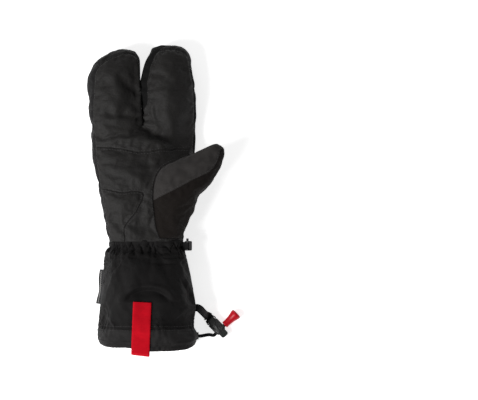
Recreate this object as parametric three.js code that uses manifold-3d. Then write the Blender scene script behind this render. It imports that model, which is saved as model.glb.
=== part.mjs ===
// Insulated lobster claw mitt for the right hand: two finger compartments, a thumb and a gauntlet.
// It lies on its back with the palm up. Millimetres, +X towards the thumb, +Y towards the fingertips.
import * as THREE from "three";
import { mergeVertices } from "three/addons/utils/BufferGeometryUtils.js";
import Module from "manifold-3d";

const wasm = await Module();
wasm.setup();

// Hand part, from the elastic line at the wrist (y = 0) to the fingertips
const HAND_LENGTH = 222;
const HAND_WIDTH = 118;
const HAND_THICKNESS = 46;
const FINGER_THICKNESS = 41;
const HAND_WALL = 4.2;
const TIP_DEPTH = 26;
const SLIT_DEPTH = 86;

// Thumb
const THUMB_WIDTH = 57;
const THUMB_REACH = 76;
const THUMB_TOP = 59;
const THUMB_WALL = 3.6;

// Gauntlet, from the elastic line down to the hem
const GAUNTLET_LENGTH = 112;
const WRIST_WIDTH = 80;
const WRIST_THICKNESS = 38;
const WRIST_LIFT = 5;
const CUFF_WIDTH = 109;
const CUFF_THICKNESS = 60;
const GAUNTLET_WALL = 2.2;
const GAUNTLET_POWER = 2.5;
const HEM_HEIGHT = 24;
const HEM_WALL = 3.2;
const HEM_BOW = 5.5;
const GATHER_SEAM = 8;
const PLEATS = 17;
const PLEAT_DEPTH = 2.2;

// Seams
const SEAM_GAP = 0.4;
const PALM_SEAM_INSET = 5;
const FINGER_ROOT = 20;
const SLIT_STRIP_WIDTH = 8;
const SIDE_STRIP_WIDTH = 8;
const CAP_LENGTH = 15;

// Pull tab
const TAB_WIDTH = 20;
const TAB_THICKNESS = 1.2;
const TAB_LENGTH = 57;
const TAB_OVERHANG = 5.5;
const TAB_RETURN = 18;
const TAB_SLANT = 2.3;
const TAB_LIFT = 1.2;

// Side label
const LABEL_LENGTH = 38;
const LABEL_WIDTH = 6.5;
const LABEL_THICKNESS = 0.9;
const LABEL_PLACE = 0.22;
const LABEL_DROOP = 55;

// Wrist clip and its webbing
const CLIP_LENGTH = 8.4;
const CLIP_WIDTH = 10.6;
const CLIP_PLACE = 1.3;
const CLIP_THICKNESS = 3.6;
const CLIP_BAR = 2.2;
const CLIP_SLOT = 3.4;
const CLIP_HOOK = 2.6;
const WEBBING_WIDTH = 8;
const WEBBING_THICKNESS = 1;
const WEBBING_CLEARANCE = 0.35;

// Cord lock, drawcord and cord end
const LOCK_LENGTH = 20;
const LOCK_WIDTH = 12.5;
const LOCK_THICKNESS = 10.8;
const LOCK_SLOT = 2.2;
const LOCK_END_BAR = 2.6;
const PLUNGER_WIDTH = 8.6;
const PLUNGER_THICKNESS = 6.8;
const PLUNGER_OUT = 6;
const PLUNGER_TRAVEL = 3;
const PLUNGER_CLEARANCE = 0.35;
const CORD_DIAMETER = 1.9;
const CORD_SPACING = 2.3;
const CORD_CLEARANCE = 0.35;
const CORD_END_LENGTH = 20;
const CORD_END_NECK_RADIUS = 3.7;
const CORD_END_MOUTH_RADIUS = 6;
const CORD_IN_END = 8;
const GUIDE_LENGTH = 6;
const GUIDE_WIDTH = 8;
const GUIDE_HEIGHT = 5;
const GUIDE_LIFT = 7;
const FLOOR_CLEARANCE = 0.3;

// Plan outline of the hand without its thumb, as shares of HAND_LENGTH, HAND_WIDTH and HAND_THICKNESS
const HAND_ROWS = [
  { at: 0.1, left: -0.337, right: 0.395, low: 0.03, high: 0.94 },
  { at: 0.2, left: -0.374, right: 0.44, low: -0.03, high: 1.0 },
  { at: 0.32, left: -0.416, right: 0.472, low: -0.05, high: 0.99 },
  { at: 0.42, left: -0.45, right: 0.484, low: -0.05, high: 0.95 },
  { at: 0.52, left: -0.467, right: 0.491, low: -0.04, high: 0.92 },
  { at: 0.64, left: -0.48, right: 0.498, low: -0.02, high: 0.88 },
];

// Plan outlines of the two finger compartments, in the same shares; low and high are shares of FINGER_THICKNESS
const RING_FINGER_ROWS = [
  { at: 0.5, left: -0.45, right: 0.0, low: 0.02, high: 0.9 },
  { at: 0.58, left: -0.474, right: 0.004, low: 0.0, high: 0.98 },
  { at: 0.65, left: -0.492, right: 0.0, low: 0.02, high: 1.0 },
  { at: 0.73, left: -0.498, right: -0.018, low: 0.04, high: 1.02 },
  { at: 0.8, left: -0.505, right: -0.024, low: 0.06, high: 1.0 },
  { at: 0.86, left: -0.494, right: -0.027, low: 0.09, high: 0.98 },
  { at: 0.9, left: -0.455, right: -0.03, low: 0.11, high: 0.96 },
  { at: 0.935, left: -0.382, right: -0.04, low: 0.13, high: 0.94 },
  { at: 0.965, left: -0.275, right: -0.07, low: 0.15, high: 0.92 },
  { at: 0.979, left: -0.2, right: -0.12, low: 0.16, high: 0.91 },
];
const INDEX_FINGER_ROWS = [
  { at: 0.5, left: 0.022, right: 0.475, low: 0.02, high: 0.9 },
  { at: 0.58, left: 0.018, right: 0.493, low: 0.0, high: 0.98 },
  { at: 0.65, left: 0.012, right: 0.498, low: 0.02, high: 1.02 },
  { at: 0.73, left: 0.006, right: 0.495, low: 0.04, high: 1.04 },
  { at: 0.8, left: -0.004, right: 0.487, low: 0.06, high: 1.02 },
  { at: 0.86, left: -0.002, right: 0.468, low: 0.09, high: 1.0 },
  { at: 0.9, left: 0.014, right: 0.457, low: 0.11, high: 0.98 },
  { at: 0.94, left: 0.042, right: 0.446, low: 0.13, high: 0.96 },
  { at: 0.97, left: 0.07, right: 0.41, low: 0.15, high: 0.94 },
  { at: 0.992, left: 0.13, right: 0.35, low: 0.17, high: 0.92 },
  { at: 1.0, left: 0.2, right: 0.28, low: 0.18, high: 0.91 },
];

// Gauntlet outline, as shares of GAUNTLET_LENGTH, CUFF_WIDTH and CUFF_THICKNESS; pleat is a share of PLEAT_DEPTH
const GAUNTLET_ROWS = [
  { at: 0.04, left: -0.366, right: 0.425, low: 0.08, high: 0.74 },
  { at: 0.09, left: -0.385, right: 0.441, low: 0.04, high: 0.8 },
  { at: 0.175, left: -0.396, right: 0.462, low: 0.0, high: 0.87 },
  { at: 0.32, left: -0.415, right: 0.502, low: -0.03, high: 0.94 },
  { at: 0.46, left: -0.436, right: 0.53, low: -0.04, high: 0.96 },
  { at: 0.6, left: -0.447, right: 0.543, low: -0.04, high: 0.97 },
  { at: 0.72, left: -0.449, right: 0.52, low: -0.04, high: 0.97 },
  { at: 0.8, left: -0.447, right: 0.54, low: -0.04, high: 0.99 },
  { at: 0.92, left: -0.438, right: 0.554, low: -0.05, high: 1.0 },
  { at: 1.0, left: -0.41, right: 0.54, low: -0.04, high: 0.98 },
];
const PLEAT_ROWS = [
  { at: -0.072, depth: 0 },
  { at: -0.03, depth: 0.8 },
  { at: 0.0, depth: 1 },
  { at: 0.04, depth: 1 },
  { at: 0.1, depth: 0.7 },
  { at: 0.17, depth: 0.35 },
  { at: 0.26, depth: 0 },
  { at: 0.45, depth: 0 },
  { at: 0.6, depth: 0 },
  { at: 0.71, depth: 0 },
  { at: 0.782, depth: 0 },
];

// Thumb rows from the wrist out: its two edges in plan as shares of HAND_WIDTH and HAND_LENGTH, its underside and top as shares of THUMB_TOP
const THUMB_ROWS = [
  { at: 0, leftX: 0.115, leftY: 0.05, rightX: 0.375, rightY: 0.045, low: 0.25, high: 0.74 },
  { at: 1, leftX: 0.1, leftY: 0.13, rightX: 0.425, rightY: 0.12, low: 0.22, high: 0.84 },
  { at: 2, leftX: 0.092, leftY: 0.21, rightX: 0.505, rightY: 0.205, low: 0.25, high: 0.93 },
  { at: 3, leftX: 0.102, leftY: 0.28, rightX: 0.552, rightY: 0.255, low: 0.29, high: 0.98 },
  { at: 4, leftX: 0.13, leftY: 0.342, rightX: 0.603, rightY: 0.29, low: 0.34, high: 1.0 },
  { at: 5, leftX: 0.195, leftY: 0.393, rightX: 0.65, rightY: 0.323, low: 0.38, high: 1.0 },
  { at: 6, leftX: 0.32, leftY: 0.428, rightX: 0.697, rightY: 0.37, low: 0.42, high: 0.99 },
  { at: 7, leftX: 0.46, leftY: 0.459, rightX: 0.735, rightY: 0.415, low: 0.47, high: 0.96 },
  { at: 8, leftX: 0.575, leftY: 0.486, rightX: 0.757, rightY: 0.448, low: 0.51, high: 0.93 },
  { at: 9, leftX: 0.65, leftY: 0.503, rightX: 0.766, rightY: 0.475, low: 0.56, high: 0.88 },
  { at: 10, leftX: 0.698, leftY: 0.509, rightX: 0.748, rightY: 0.497, low: 0.64, high: 0.8 },
];
const THUMB_CROTCH_ROW = 4;
const THUMB_MOUTH_ROWS = [0.3, 5.4];

// Folds pressed into the hand, as shares of HAND_WIDTH and HAND_LENGTH, with the turn of the fold in degrees and its depth in shares of HAND_WALL
const HAND_FOLDS = [
  { side: 1, x: 0.36, y: 0.6, turn: 8, length: 0.2, width: 0.035, depth: 0.55 },
  { side: 1, x: -0.28, y: 0.64, turn: -6, length: 0.2, width: 0.03, depth: 0.45 },
  { side: 1, x: 0.33, y: 0.47, turn: 28, length: 0.26, width: 0.06, depth: 0.9 },
  { side: 1, x: -0.13, y: 0.5, turn: -24, length: 0.22, width: 0.035, depth: 0.5 },
  { side: -1, x: 0.3, y: 0.76, turn: -10, length: 0.22, width: 0.025, depth: 0.6 },
  { side: -1, x: 0.24, y: 0.67, turn: 6, length: 0.2, width: 0.022, depth: 0.5 },
  { side: -1, x: 0.25, y: 0.55, turn: 20, length: 0.3, width: 0.03, depth: 0.65 },
  { side: -1, x: -0.3, y: 0.62, turn: 8, length: 0.24, width: 0.025, depth: 0.55 },
  { side: -1, x: -0.32, y: 0.75, turn: 10, length: 0.2, width: 0.025, depth: 0.4 },
];

// The palm's sewn lines: the arc under the fingers and the edge of the heel panel, as shares of HAND_WIDTH and HAND_LENGTH
const PALM_ARC = [
  { x: -0.7, y: 0.46 },
  { x: -0.4, y: 0.487 },
  { x: -0.2, y: 0.484 },
  { x: -0.03, y: 0.466 },
  { x: 0.15, y: 0.474 },
  { x: 0.7, y: 0.5 },
];
const HEEL_EDGE = [
  { x: -0.7, y: 0.34 },
  { x: -0.34, y: 0.287 },
  { x: -0.19, y: 0.268 },
  { x: -0.03, y: 0.275 },
  { x: 0.015, y: 0.255 },
  { x: 0.005, y: 0.225 },
  { x: -0.05, y: 0.168 },
  { x: -0.13, y: 0.122 },
  { x: -0.165, y: 0.09 },
  { x: -0.165, y: -0.2 },
  { x: -0.7, y: -0.2 },
];

// The line along the thumb between its padded front and its outer gusset, in the same shares
const THUMB_SEAM = [
  { x: -0.7, y: 0.2 },
  { x: 0.02, y: 0.22 },
  { x: 0.28, y: 0.27 },
  { x: 0.46, y: 0.325 },
  { x: 0.64, y: 0.4 },
  { x: 0.735, y: 0.482 },
  { x: 0.9, y: 0.53 },
];

const RING_POINTS = 28;
const LINING_POINTS = 16;
const THUMB_POINTS = 20;
const GATHER_POINTS = PLEATS * 3;
const SMOOTHING = 0.12;
const FAR = 400;

// A cubic through the rows of a table, by the value in its first column, for every other column.
function sample(rows, at) {
  const last = rows.length - 1;
  let i = rows.findIndex((row) => row.at > at);
  i = i < 0 ? last - 1 : Math.max(0, i - 1);
  i = Math.min(i, last - 1);
  const [p, a, b, n] = [rows[Math.max(0, i - 1)], rows[i], rows[i + 1], rows[Math.min(last, i + 2)]];
  const span = b.at - a.at;
  const t = Math.min(1, Math.max(0, (at - a.at) / span));
  const mixed = { at };
  for (const key of Object.keys(a)) {
    if (key === "at") continue;
    const slopeA = (b[key] - p[key]) / (b.at - p.at);
    const slopeB = (n[key] - a[key]) / (n.at - a.at);
    const t2 = t * t;
    const t3 = t2 * t;
    mixed[key] =
      (2 * t3 - 3 * t2 + 1) * a[key] +
      (t3 - 2 * t2 + t) * span * slopeA +
      (3 * t2 - 2 * t3) * b[key] +
      (t3 - t2) * span * slopeB;
  }
  return mixed;
}

// The tables in millimetres.
const scaled = (rows, length, width, thickness) =>
  rows.map((row) => ({
    at: row.at * length,
    left: row.left * width,
    right: row.right * width,
    low: row.low * thickness,
    high: row.high * thickness,
  }));
const WRIST_CENTRE = 0.04 * HAND_WIDTH;
const wristRow = {
  at: 0,
  left: WRIST_CENTRE - WRIST_WIDTH / 2,
  right: WRIST_CENTRE + WRIST_WIDTH / 2,
  low: WRIST_LIFT,
  high: WRIST_LIFT + WRIST_THICKNESS,
};
const gauntletRows = scaled(GAUNTLET_ROWS, -GAUNTLET_LENGTH, CUFF_WIDTH, CUFF_THICKNESS).reverse();
const bodyRows = [...gauntletRows, wristRow, ...scaled(HAND_ROWS, HAND_LENGTH, HAND_WIDTH, HAND_THICKNESS)];
const ringRows = scaled(RING_FINGER_ROWS, HAND_LENGTH, HAND_WIDTH, FINGER_THICKNESS);
const indexRows = scaled(INDEX_FINGER_ROWS, HAND_LENGTH, HAND_WIDTH, FINGER_THICKNESS);
const CROTCH_Y = HAND_LENGTH - SLIT_DEPTH;

// One ring of points round a section: a rounded box of the given power, drawn in by inset and flat on the floor.
function sectionRing(row, { y, inset = 0, power = 2.6, points = RING_POINTS, floor = 0, pleat = null }) {
  const centreX = (row.left + row.right) / 2;
  const centreZ = (row.low + row.high) / 2;
  const halfX = Math.max(0.5, (row.right - row.left) / 2 - inset);
  const halfZ = Math.max(0.5, (row.high - row.low) / 2 - inset);
  const ring = [];
  for (let k = 0; k < points; k++) {
    const angle = (2 * Math.PI * k) / points;
    const c = Math.cos(angle);
    const s = Math.sin(angle);
    const drawn = pleat ? pleat(k) : 0;
    const x = centreX + (halfX - drawn) * Math.sign(c) * Math.abs(c) ** (2 / power);
    const z = centreZ + (halfZ - drawn) * Math.sign(s) * Math.abs(s) ** (2 / power);
    ring.push(new THREE.Vector3(x, typeof y === "function" ? y((x - centreX) / halfX) : y, Math.max(z, floor)));
  }
  return ring;
}

// A closed geometry through rings of equally many points; a tube's last ring is its first again.
function loft(rings, tube = false) {
  const size = rings[0].length;
  const positions = rings.flat().flatMap((p) => [p.x, p.y, p.z]);
  const index = [];
  const count = rings.length;
  for (let r = 0; r < (tube ? count : count - 1); r++) {
    const next = (r + 1) % count;
    for (let k = 0; k < size; k++) {
      const l = (k + 1) % size;
      index.push(r * size + k, next * size + k, next * size + l);
      index.push(r * size + k, next * size + l, r * size + l);
    }
  }
  if (!tube) {
    for (const [r, turned] of [[0, true], [count - 1, false]]) {
      const centre = rings[r].reduce((sum, p) => sum.add(p), new THREE.Vector3()).divideScalar(size);
      const tip = positions.length / 3;
      positions.push(centre.x, centre.y, centre.z);
      for (let k = 0; k < size; k++) {
        const l = (k + 1) % size;
        index.push(tip, r * size + (turned ? k : l), r * size + (turned ? l : k));
      }
    }
  }
  const geometry = new THREE.BufferGeometry();
  geometry.setAttribute("position", new THREE.Float32BufferAttribute(positions, 3));
  geometry.setIndex(index);
  return geometry;
}

// A geometry as a solid for cutting and joining, whichever way its faces were wound.
function solid(geometry) {
  const bare = geometry.index ? geometry.toNonIndexed() : geometry.clone();
  bare.deleteAttribute("normal");
  bare.deleteAttribute("uv");
  const merged = mergeVertices(bare, 1e-4);
  const make = (triVerts) =>
    new wasm.Manifold(new wasm.Mesh({ numProp: 3, vertProperties: merged.attributes.position.array, triVerts }));
  const faces = new Uint32Array(merged.index.array);
  const made = make(faces);
  if (made.volume() > 0) return made;
  for (let i = 0; i < faces.length; i += 3) [faces[i + 1], faces[i + 2]] = [faces[i + 2], faces[i + 1]];
  return make(faces);
}

// A solid back as a geometry: its largest body only, without corners that the eye can't find.
function geometryOf(made) {
  const bodies = made.simplify(SMOOTHING).decompose();
  const mesh = bodies.reduce((a, b) => (a.volume() > b.volume() ? a : b)).getMesh();
  const geometry = new THREE.BufferGeometry();
  geometry.setAttribute("position", new THREE.BufferAttribute(new Float32Array(mesh.vertProperties), 3));
  geometry.setIndex(new THREE.BufferAttribute(new Uint32Array(mesh.triVerts), 1));
  return geometry;
}

// A straight-sided solid over a plan outline, from one height to another.
function prism(outline, low = -FAR, high = FAR) {
  const shape = new THREE.Shape(outline.map((p) => new THREE.Vector2(p.x, p.y)));
  const geometry = new THREE.ExtrudeGeometry(shape, { depth: high - low, bevelEnabled: false });
  return solid(geometry.translate(0, 0, low));
}

function slab(low, high) {
  const size = high.clone().sub(low);
  const middle = high.clone().add(low).multiplyScalar(0.5);
  return solid(new THREE.BoxGeometry(size.x, size.y, size.z).translate(middle.x, middle.y, middle.z));
}

const joined = (...solids) => solids.reduce((a, b) => a.add(b));
const onHand = (points) => points.map((p) => new THREE.Vector2(p.x * HAND_WIDTH, p.y * HAND_LENGTH));

// The plan outline between a table's two edges, drawn in on each side.
function planZone(rows, { from, to, insetLeft, insetRight }) {
  const steps = 16;
  const left = [];
  const right = [];
  for (let i = 0; i <= steps; i++) {
    const y = from + ((to - from) * i) / steps;
    const row = sample(rows, y);
    left.push(new THREE.Vector2(row.left + insetLeft, y));
    right.push(new THREE.Vector2(row.right - insetRight, y));
  }
  return prism([...left, ...right.reverse()]);
}

// Depth of the folds at a point of the hand.
function foldDepth(point, upwards) {
  let depth = 0;
  for (const fold of HAND_FOLDS) {
    if (Math.sign(upwards) !== fold.side) continue;
    const turn = THREE.MathUtils.degToRad(fold.turn);
    const dx = point.x - fold.x * HAND_WIDTH;
    const dy = point.y - fold.y * HAND_LENGTH;
    const along = (dx * Math.cos(turn) + dy * Math.sin(turn)) / (fold.length * HAND_WIDTH);
    const across = (dy * Math.cos(turn) - dx * Math.sin(turn)) / (fold.width * HAND_LENGTH);
    depth += fold.depth * HAND_WALL * Math.exp(-along * along * 2 - across * across);
  }
  return depth;
}

function foldedRing(row, options) {
  const middle = (row.low + row.high) / 2;
  const ring = sectionRing(row, options);
  for (const point of ring) {
    const upwards = point.z - middle;
    point.z -= Math.sign(upwards) * foldDepth(point, upwards);
  }
  return ring;
}

// The body of the hand, and one finger compartment; inset gives the hollow inside.
function handLoft(inset, floor) {
  const from = GATHER_SEAM + (inset ? -HAND_WALL : SEAM_GAP);
  const to = CROTCH_Y - inset;
  const steps = inset > 0 ? 6 : 9;
  const rings = [];
  for (let i = 0; i <= steps; i++) {
    const y = from + ((to - from) * i) / steps;
    const options = { y, inset, floor, power: 2.7, points: inset > 0 ? LINING_POINTS : RING_POINTS };
    rings.push(inset ? sectionRing(sample(bodyRows, y), options) : foldedRing(sample(bodyRows, y), options));
  }
  return solid(loft(rings));
}

function fingerLoft(rows, inset, floor) {
  const tip = rows[rows.length - 1].at - inset;
  const from = rows[0].at - (inset ? HAND_WALL : 0);
  const steps = inset > 0 ? 6 : 10;
  const rings = [];
  for (let i = 0; i <= steps; i++) {
    const share = i / steps;
    const y = from + (tip - from) * (1 - (1 - share) ** 1.35);
    const row = sample(rows, y + inset);
    const intoTip = Math.max(0, (y - (tip - TIP_DEPTH)) / TIP_DEPTH);
    const roundness = Math.sqrt(1 - Math.min(0.985, intoTip) ** 2.4);
    const middle = (row.low + row.high) / 2;
    const half = ((row.high - row.low) / 2) * roundness;
    const rounded = { ...row, low: middle - half, high: middle + half };
    const slim = inset * Math.min(1, roundness + 0.25);
    const options = { y, inset: slim, floor, power: 2.4, points: inset > 0 ? LINING_POINTS : RING_POINTS };
    rings.push(inset ? sectionRing(rounded, options) : foldedRing(rounded, options));
  }
  return solid(loft(rings));
}

// The thumb: rings across its two edges in plan.
const THUMB_SPAN = THUMB_ROWS[8].rightX - THUMB_ROWS[0].leftX;
const thumbShareX = THUMB_REACH / (THUMB_SPAN * HAND_WIDTH);
const thumbWidest = Math.hypot(
  (THUMB_ROWS[4].rightX - THUMB_ROWS[4].leftX) * HAND_WIDTH,
  (THUMB_ROWS[4].rightY - THUMB_ROWS[4].leftY) * HAND_LENGTH,
);
function thumbRing(row, inset) {
  const points = inset > 0 ? LINING_POINTS : THUMB_POINTS;
  const originX = THUMB_ROWS[0].leftX * HAND_WIDTH;
  const place = (x, y) =>
    new THREE.Vector3(originX + (x * HAND_WIDTH - originX) * thumbShareX, y * HAND_LENGTH, 0);
  const left = place(row.leftX, row.leftY);
  const right = place(row.rightX, row.rightY);
  const centre = left.clone().add(right).multiplyScalar(0.5);
  const widthShare = THUMB_WIDTH / thumbWidest;
  const across = right.clone().sub(left).multiplyScalar(0.5 * widthShare);
  const halfWidth = Math.max(1, across.length() - inset);
  across.normalize();
  const centreZ = ((row.low + row.high) / 2) * THUMB_TOP;
  const halfZ = Math.max(1, ((row.high - row.low) / 2) * THUMB_TOP - inset);
  const ring = [];
  for (let k = 0; k < points; k++) {
    const angle = (2 * Math.PI * k) / points;
    const c = Math.cos(angle);
    const s = Math.sin(angle);
    const point = centre.clone().addScaledVector(across, halfWidth * Math.sign(c) * Math.abs(c) ** 0.85);
    point.z = centreZ + halfZ * Math.sign(s) * Math.abs(s) ** 0.85;
    ring.push(point);
  }
  return ring;
}
function thumbLoft(inset, from = 0, to = THUMB_ROWS.length - 1) {
  const rings = [];
  const steps = Math.round(to - from);
  for (let i = 0; i <= steps; i++) rings.push(thumbRing(sample(THUMB_ROWS, from + ((to - from) * i) / steps), inset));
  return solid(loft(rings));
}

// The hollow shell of the hand and of the thumb
const handOuter = joined(handLoft(0, 0), fingerLoft(ringRows, 0, 0), fingerLoft(indexRows, 0, 0));
const handInner = joined(
  handLoft(HAND_WALL, HAND_WALL),
  fingerLoft(ringRows, HAND_WALL, HAND_WALL),
  fingerLoft(indexRows, HAND_WALL, HAND_WALL),
);
const handClear = joined(handLoft(-SEAM_GAP, 0), fingerLoft(ringRows, -SEAM_GAP, 0), fingerLoft(indexRows, -SEAM_GAP, 0));
const thumbHollow = thumbLoft(THUMB_WALL, 0, THUMB_ROWS.length - 1.6);
const thumbMouth = thumbLoft(THUMB_WALL, ...THUMB_MOUTH_ROWS);
const handBacking = joined(handLoft(-HAND_WALL, 0), fingerLoft(indexRows, -HAND_WALL, 0));
const handShell = handOuter.subtract(handInner).subtract(thumbMouth);
const thumbShell = thumbLoft(0)
  .subtract(handClear)
  .subtract(thumbMouth)
  .subtract(thumbHollow.subtract(handBacking));

// Zones in plan that the sewn panels fill; grow widens a zone by a seam's gap
const MID_HEIGHT = HAND_THICKNESS / 2;
function palmZone(grow = 0) {
  const inset = PALM_SEAM_INSET - grow;
  const slitInset = SLIT_STRIP_WIDTH - grow;
  const edge = 2 - grow;
  const above = slab(new THREE.Vector3(-FAR, -FAR, MID_HEIGHT - grow), new THREE.Vector3(FAR, FAR, FAR));
  return joined(
    planZone(bodyRows, { from: -GATHER_SEAM, to: CROTCH_Y - 4 + grow, insetLeft: inset * 0.5, insetRight: edge }),
    planZone(ringRows, {
      from: CROTCH_Y - FINGER_ROOT,
      to: ringRows[ringRows.length - 1].at - inset,
      insetLeft: inset,
      insetRight: edge,
    }),
    planZone(indexRows, {
      from: CROTCH_Y - FINGER_ROOT,
      to: indexRows[indexRows.length - 1].at - inset,
      insetLeft: slitInset,
      insetRight: edge,
    }),
  ).intersect(above);
}
const tipOf = (rows) => rows[rows.length - 1];
function capZone(rows, grow = 0) {
  const top = tipOf(rows);
  const { left, right } = sample(rows, top.at - CAP_LENGTH);
  const line = top.at - CAP_LENGTH - grow;
  return prism([
    new THREE.Vector2(left - 20, line - 8),
    new THREE.Vector2(left + 4, line - 7),
    new THREE.Vector2(left * 0.7 + right * 0.3, line),
    new THREE.Vector2(left * 0.3 + right * 0.7, line + 1),
    new THREE.Vector2(right - 2, line - 4),
    new THREE.Vector2(right + 8, line - 4),
    new THREE.Vector2(right + 8, FAR),
    new THREE.Vector2(left - 20, FAR),
  ]).intersect(
    slab(
      new THREE.Vector3(rows === indexRows ? tipOf(ringRows).right : -FAR, -FAR, -FAR),
      new THREE.Vector3(rows === ringRows ? tipOf(indexRows).left : FAR, FAR, FAR),
    ),
  );
}
function slitZone(grow = 0) {
  const rows = [];
  const steps = 12;
  const from = CROTCH_Y - 6 - grow;
  const to = tipOf(indexRows).at;
  for (let i = 0; i <= steps; i++) {
    const y = from + ((to - from) * i) / steps;
    rows.push({
      at: y,
      left: sample(ringRows, y).right - SLIT_STRIP_WIDTH / 2 - grow,
      right: sample(indexRows, y).left + SLIT_STRIP_WIDTH + grow,
    });
  }
  return prism([
    ...rows.map((row) => new THREE.Vector2(row.left, row.at)),
    ...rows.reverse().map((row) => new THREE.Vector2(row.right, row.at)),
  ]);
}
function sideZone(grow = 0) {
  const from = THUMB_ROWS[THUMB_CROTCH_ROW].leftY * HAND_LENGTH;
  const edge = (y) => Math.min(sample(y > CROTCH_Y ? indexRows : bodyRows, y).right - SIDE_STRIP_WIDTH, FAR);
  const points = [];
  const steps = 14;
  const to = tipOf(indexRows).at;
  for (let i = 0; i <= steps; i++) {
    const y = from - grow + ((to - from + grow) * i) / steps;
    points.push(new THREE.Vector2(edge(y) - grow, y));
  }
  return prism([...points, new THREE.Vector2(FAR, to), new THREE.Vector2(FAR, from - grow)]);
}
const palmArc = onHand(PALM_ARC);
const lifted = (points, by) => points.map((p) => new THREE.Vector2(p.x, p.y + by));
const above = (line, by) => prism([...lifted(line, by), new THREE.Vector2(FAR, FAR), new THREE.Vector2(-FAR, FAR)]);
const below = (line, by) => prism([...lifted(line, by), new THREE.Vector2(FAR, -FAR), new THREE.Vector2(-FAR, -FAR)]);
const heelEdge = onHand(HEEL_EDGE);
const heelGrown = heelEdge.map((p) => new THREE.Vector2(p.x < -0.3 * HAND_WIDTH ? p.x : p.x + SEAM_GAP, p.y + SEAM_GAP));
const thumbSeam = onHand(THUMB_SEAM);

// Sewn panels
const palm = handShell.intersect(palmZone());
const notPalm = handShell.subtract(palmZone(SEAM_GAP));
const palmFingers = palm.intersect(above(palmArc, SEAM_GAP / 2));
const palmLower = palm.intersect(below(palmArc, -SEAM_GAP / 2));
const heel = palmLower.intersect(prism(heelEdge));
const palmMiddle = palmLower.subtract(prism(heelGrown));
const ringCap = notPalm.intersect(capZone(ringRows));
const indexCap = notPalm.intersect(capZone(indexRows));
const caps = joined(capZone(ringRows, SEAM_GAP), capZone(indexRows, SEAM_GAP));
const slitStrip = notPalm.intersect(slitZone()).subtract(caps);
const sideStrip = notPalm.intersect(sideZone()).subtract(caps);
const backPanel = notPalm.subtract(caps).subtract(slitZone(SEAM_GAP)).subtract(sideZone(SEAM_GAP));
const thumbFront = thumbShell.intersect(above(thumbSeam, SEAM_GAP / 2));
const thumbGusset = thumbShell.intersect(below(thumbSeam, -SEAM_GAP / 2));

// Gauntlet: a pleated tube from the wrist seam to the hem, in a palm half and a back half
const HEM_TOP = HEM_HEIGHT - GAUNTLET_LENGTH;
function gauntletRing(at, depth, inset, turn) {
  const y = at;
  const row = sample(bodyRows, y);
  const shape = [0, 1, 0.35];
  const pleat = (k) => depth * PLEAT_DEPTH * shape[(k + turn) % 3];
  return sectionRing(row, { y, inset, power: GAUNTLET_POWER, points: GATHER_POINTS, floor: inset, pleat });
}
function gauntletTube() {
  const rows = PLEAT_ROWS.map((row, i) => ({ y: -row.at * GAUNTLET_LENGTH, depth: row.depth, turn: i % 3 }));
  rows[0].y = GATHER_SEAM;
  rows[rows.length - 1].y = HEM_TOP + SEAM_GAP;
  const outer = rows.map((row) => gauntletRing(row.y, row.depth, 0, row.turn));
  const inner = rows.map((row) => gauntletRing(row.y, row.depth, GAUNTLET_WALL, row.turn)).reverse();
  return solid(loft([...outer, ...inner], true));
}
const SIDE_SEAM_HEIGHT = CUFF_THICKNESS * 0.44;
const gauntlet = gauntletTube();
const upperHalf = slab(new THREE.Vector3(-FAR, -FAR, SIDE_SEAM_HEIGHT + SEAM_GAP / 2), new THREE.Vector3(FAR, FAR, FAR));
const lowerHalf = slab(new THREE.Vector3(-FAR, -FAR, -FAR), new THREE.Vector3(FAR, FAR, SIDE_SEAM_HEIGHT - SEAM_GAP / 2));

// Hem: a double turned casing whose mouth bows out between its two corners
function hemTube() {
  const rim = (share) => -GAUNTLET_LENGTH + HEM_BOW * Math.min(1, Math.abs(share)) ** 6;
  const ring = (y, inset) => {
    const row = sample(bodyRows, typeof y === "function" ? -GAUNTLET_LENGTH : y);
    return sectionRing(row, { y, inset, power: GAUNTLET_POWER, points: 40, floor: inset });
  };
  const stations = [HEM_TOP, HEM_TOP - HEM_HEIGHT * 0.5, rim];
  const outer = stations.map((y) => ring(y, 0));
  const inner = stations.map((y) => ring(y, HEM_WALL)).reverse();
  return solid(loft([...outer, ...inner], true));
}

const topAt = (y) => sample(bodyRows, y).high;
const rightAt = (y) => sample(bodyRows, y).right;
const leftAt = (y) => sample(bodyRows, y).left;
function rightSide(y, z) {
  const { left, right, low, high } = sample(bodyRows, y);
  const rise = Math.abs(z - (low + high) / 2) / ((high - low) / 2);
  return (left + right) / 2 + ((right - left) / 2) * (1 - rise ** GAUNTLET_POWER) ** (1 / GAUNTLET_POWER);
}

// A strip of even thickness along a path in the y-z plane, as wide as asked in x.
function strip(path, thickness, width) {
  const outer = [];
  const inner = [];
  path.forEach((p, i) => {
    const before = path[Math.max(0, i - 1)];
    const after = path[Math.min(path.length - 1, i + 1)];
    const along = after.clone().sub(before).normalize();
    const across = new THREE.Vector2(-along.y, along.x).multiplyScalar(thickness / 2);
    outer.push(p.clone().add(across));
    inner.push(p.clone().sub(across));
  });
  const shape = new THREE.Shape([...outer, ...inner.reverse()]);
  return new THREE.ExtrudeGeometry(shape, { depth: width, bevelEnabled: false }).translate(0, 0, -width / 2);
}

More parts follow.
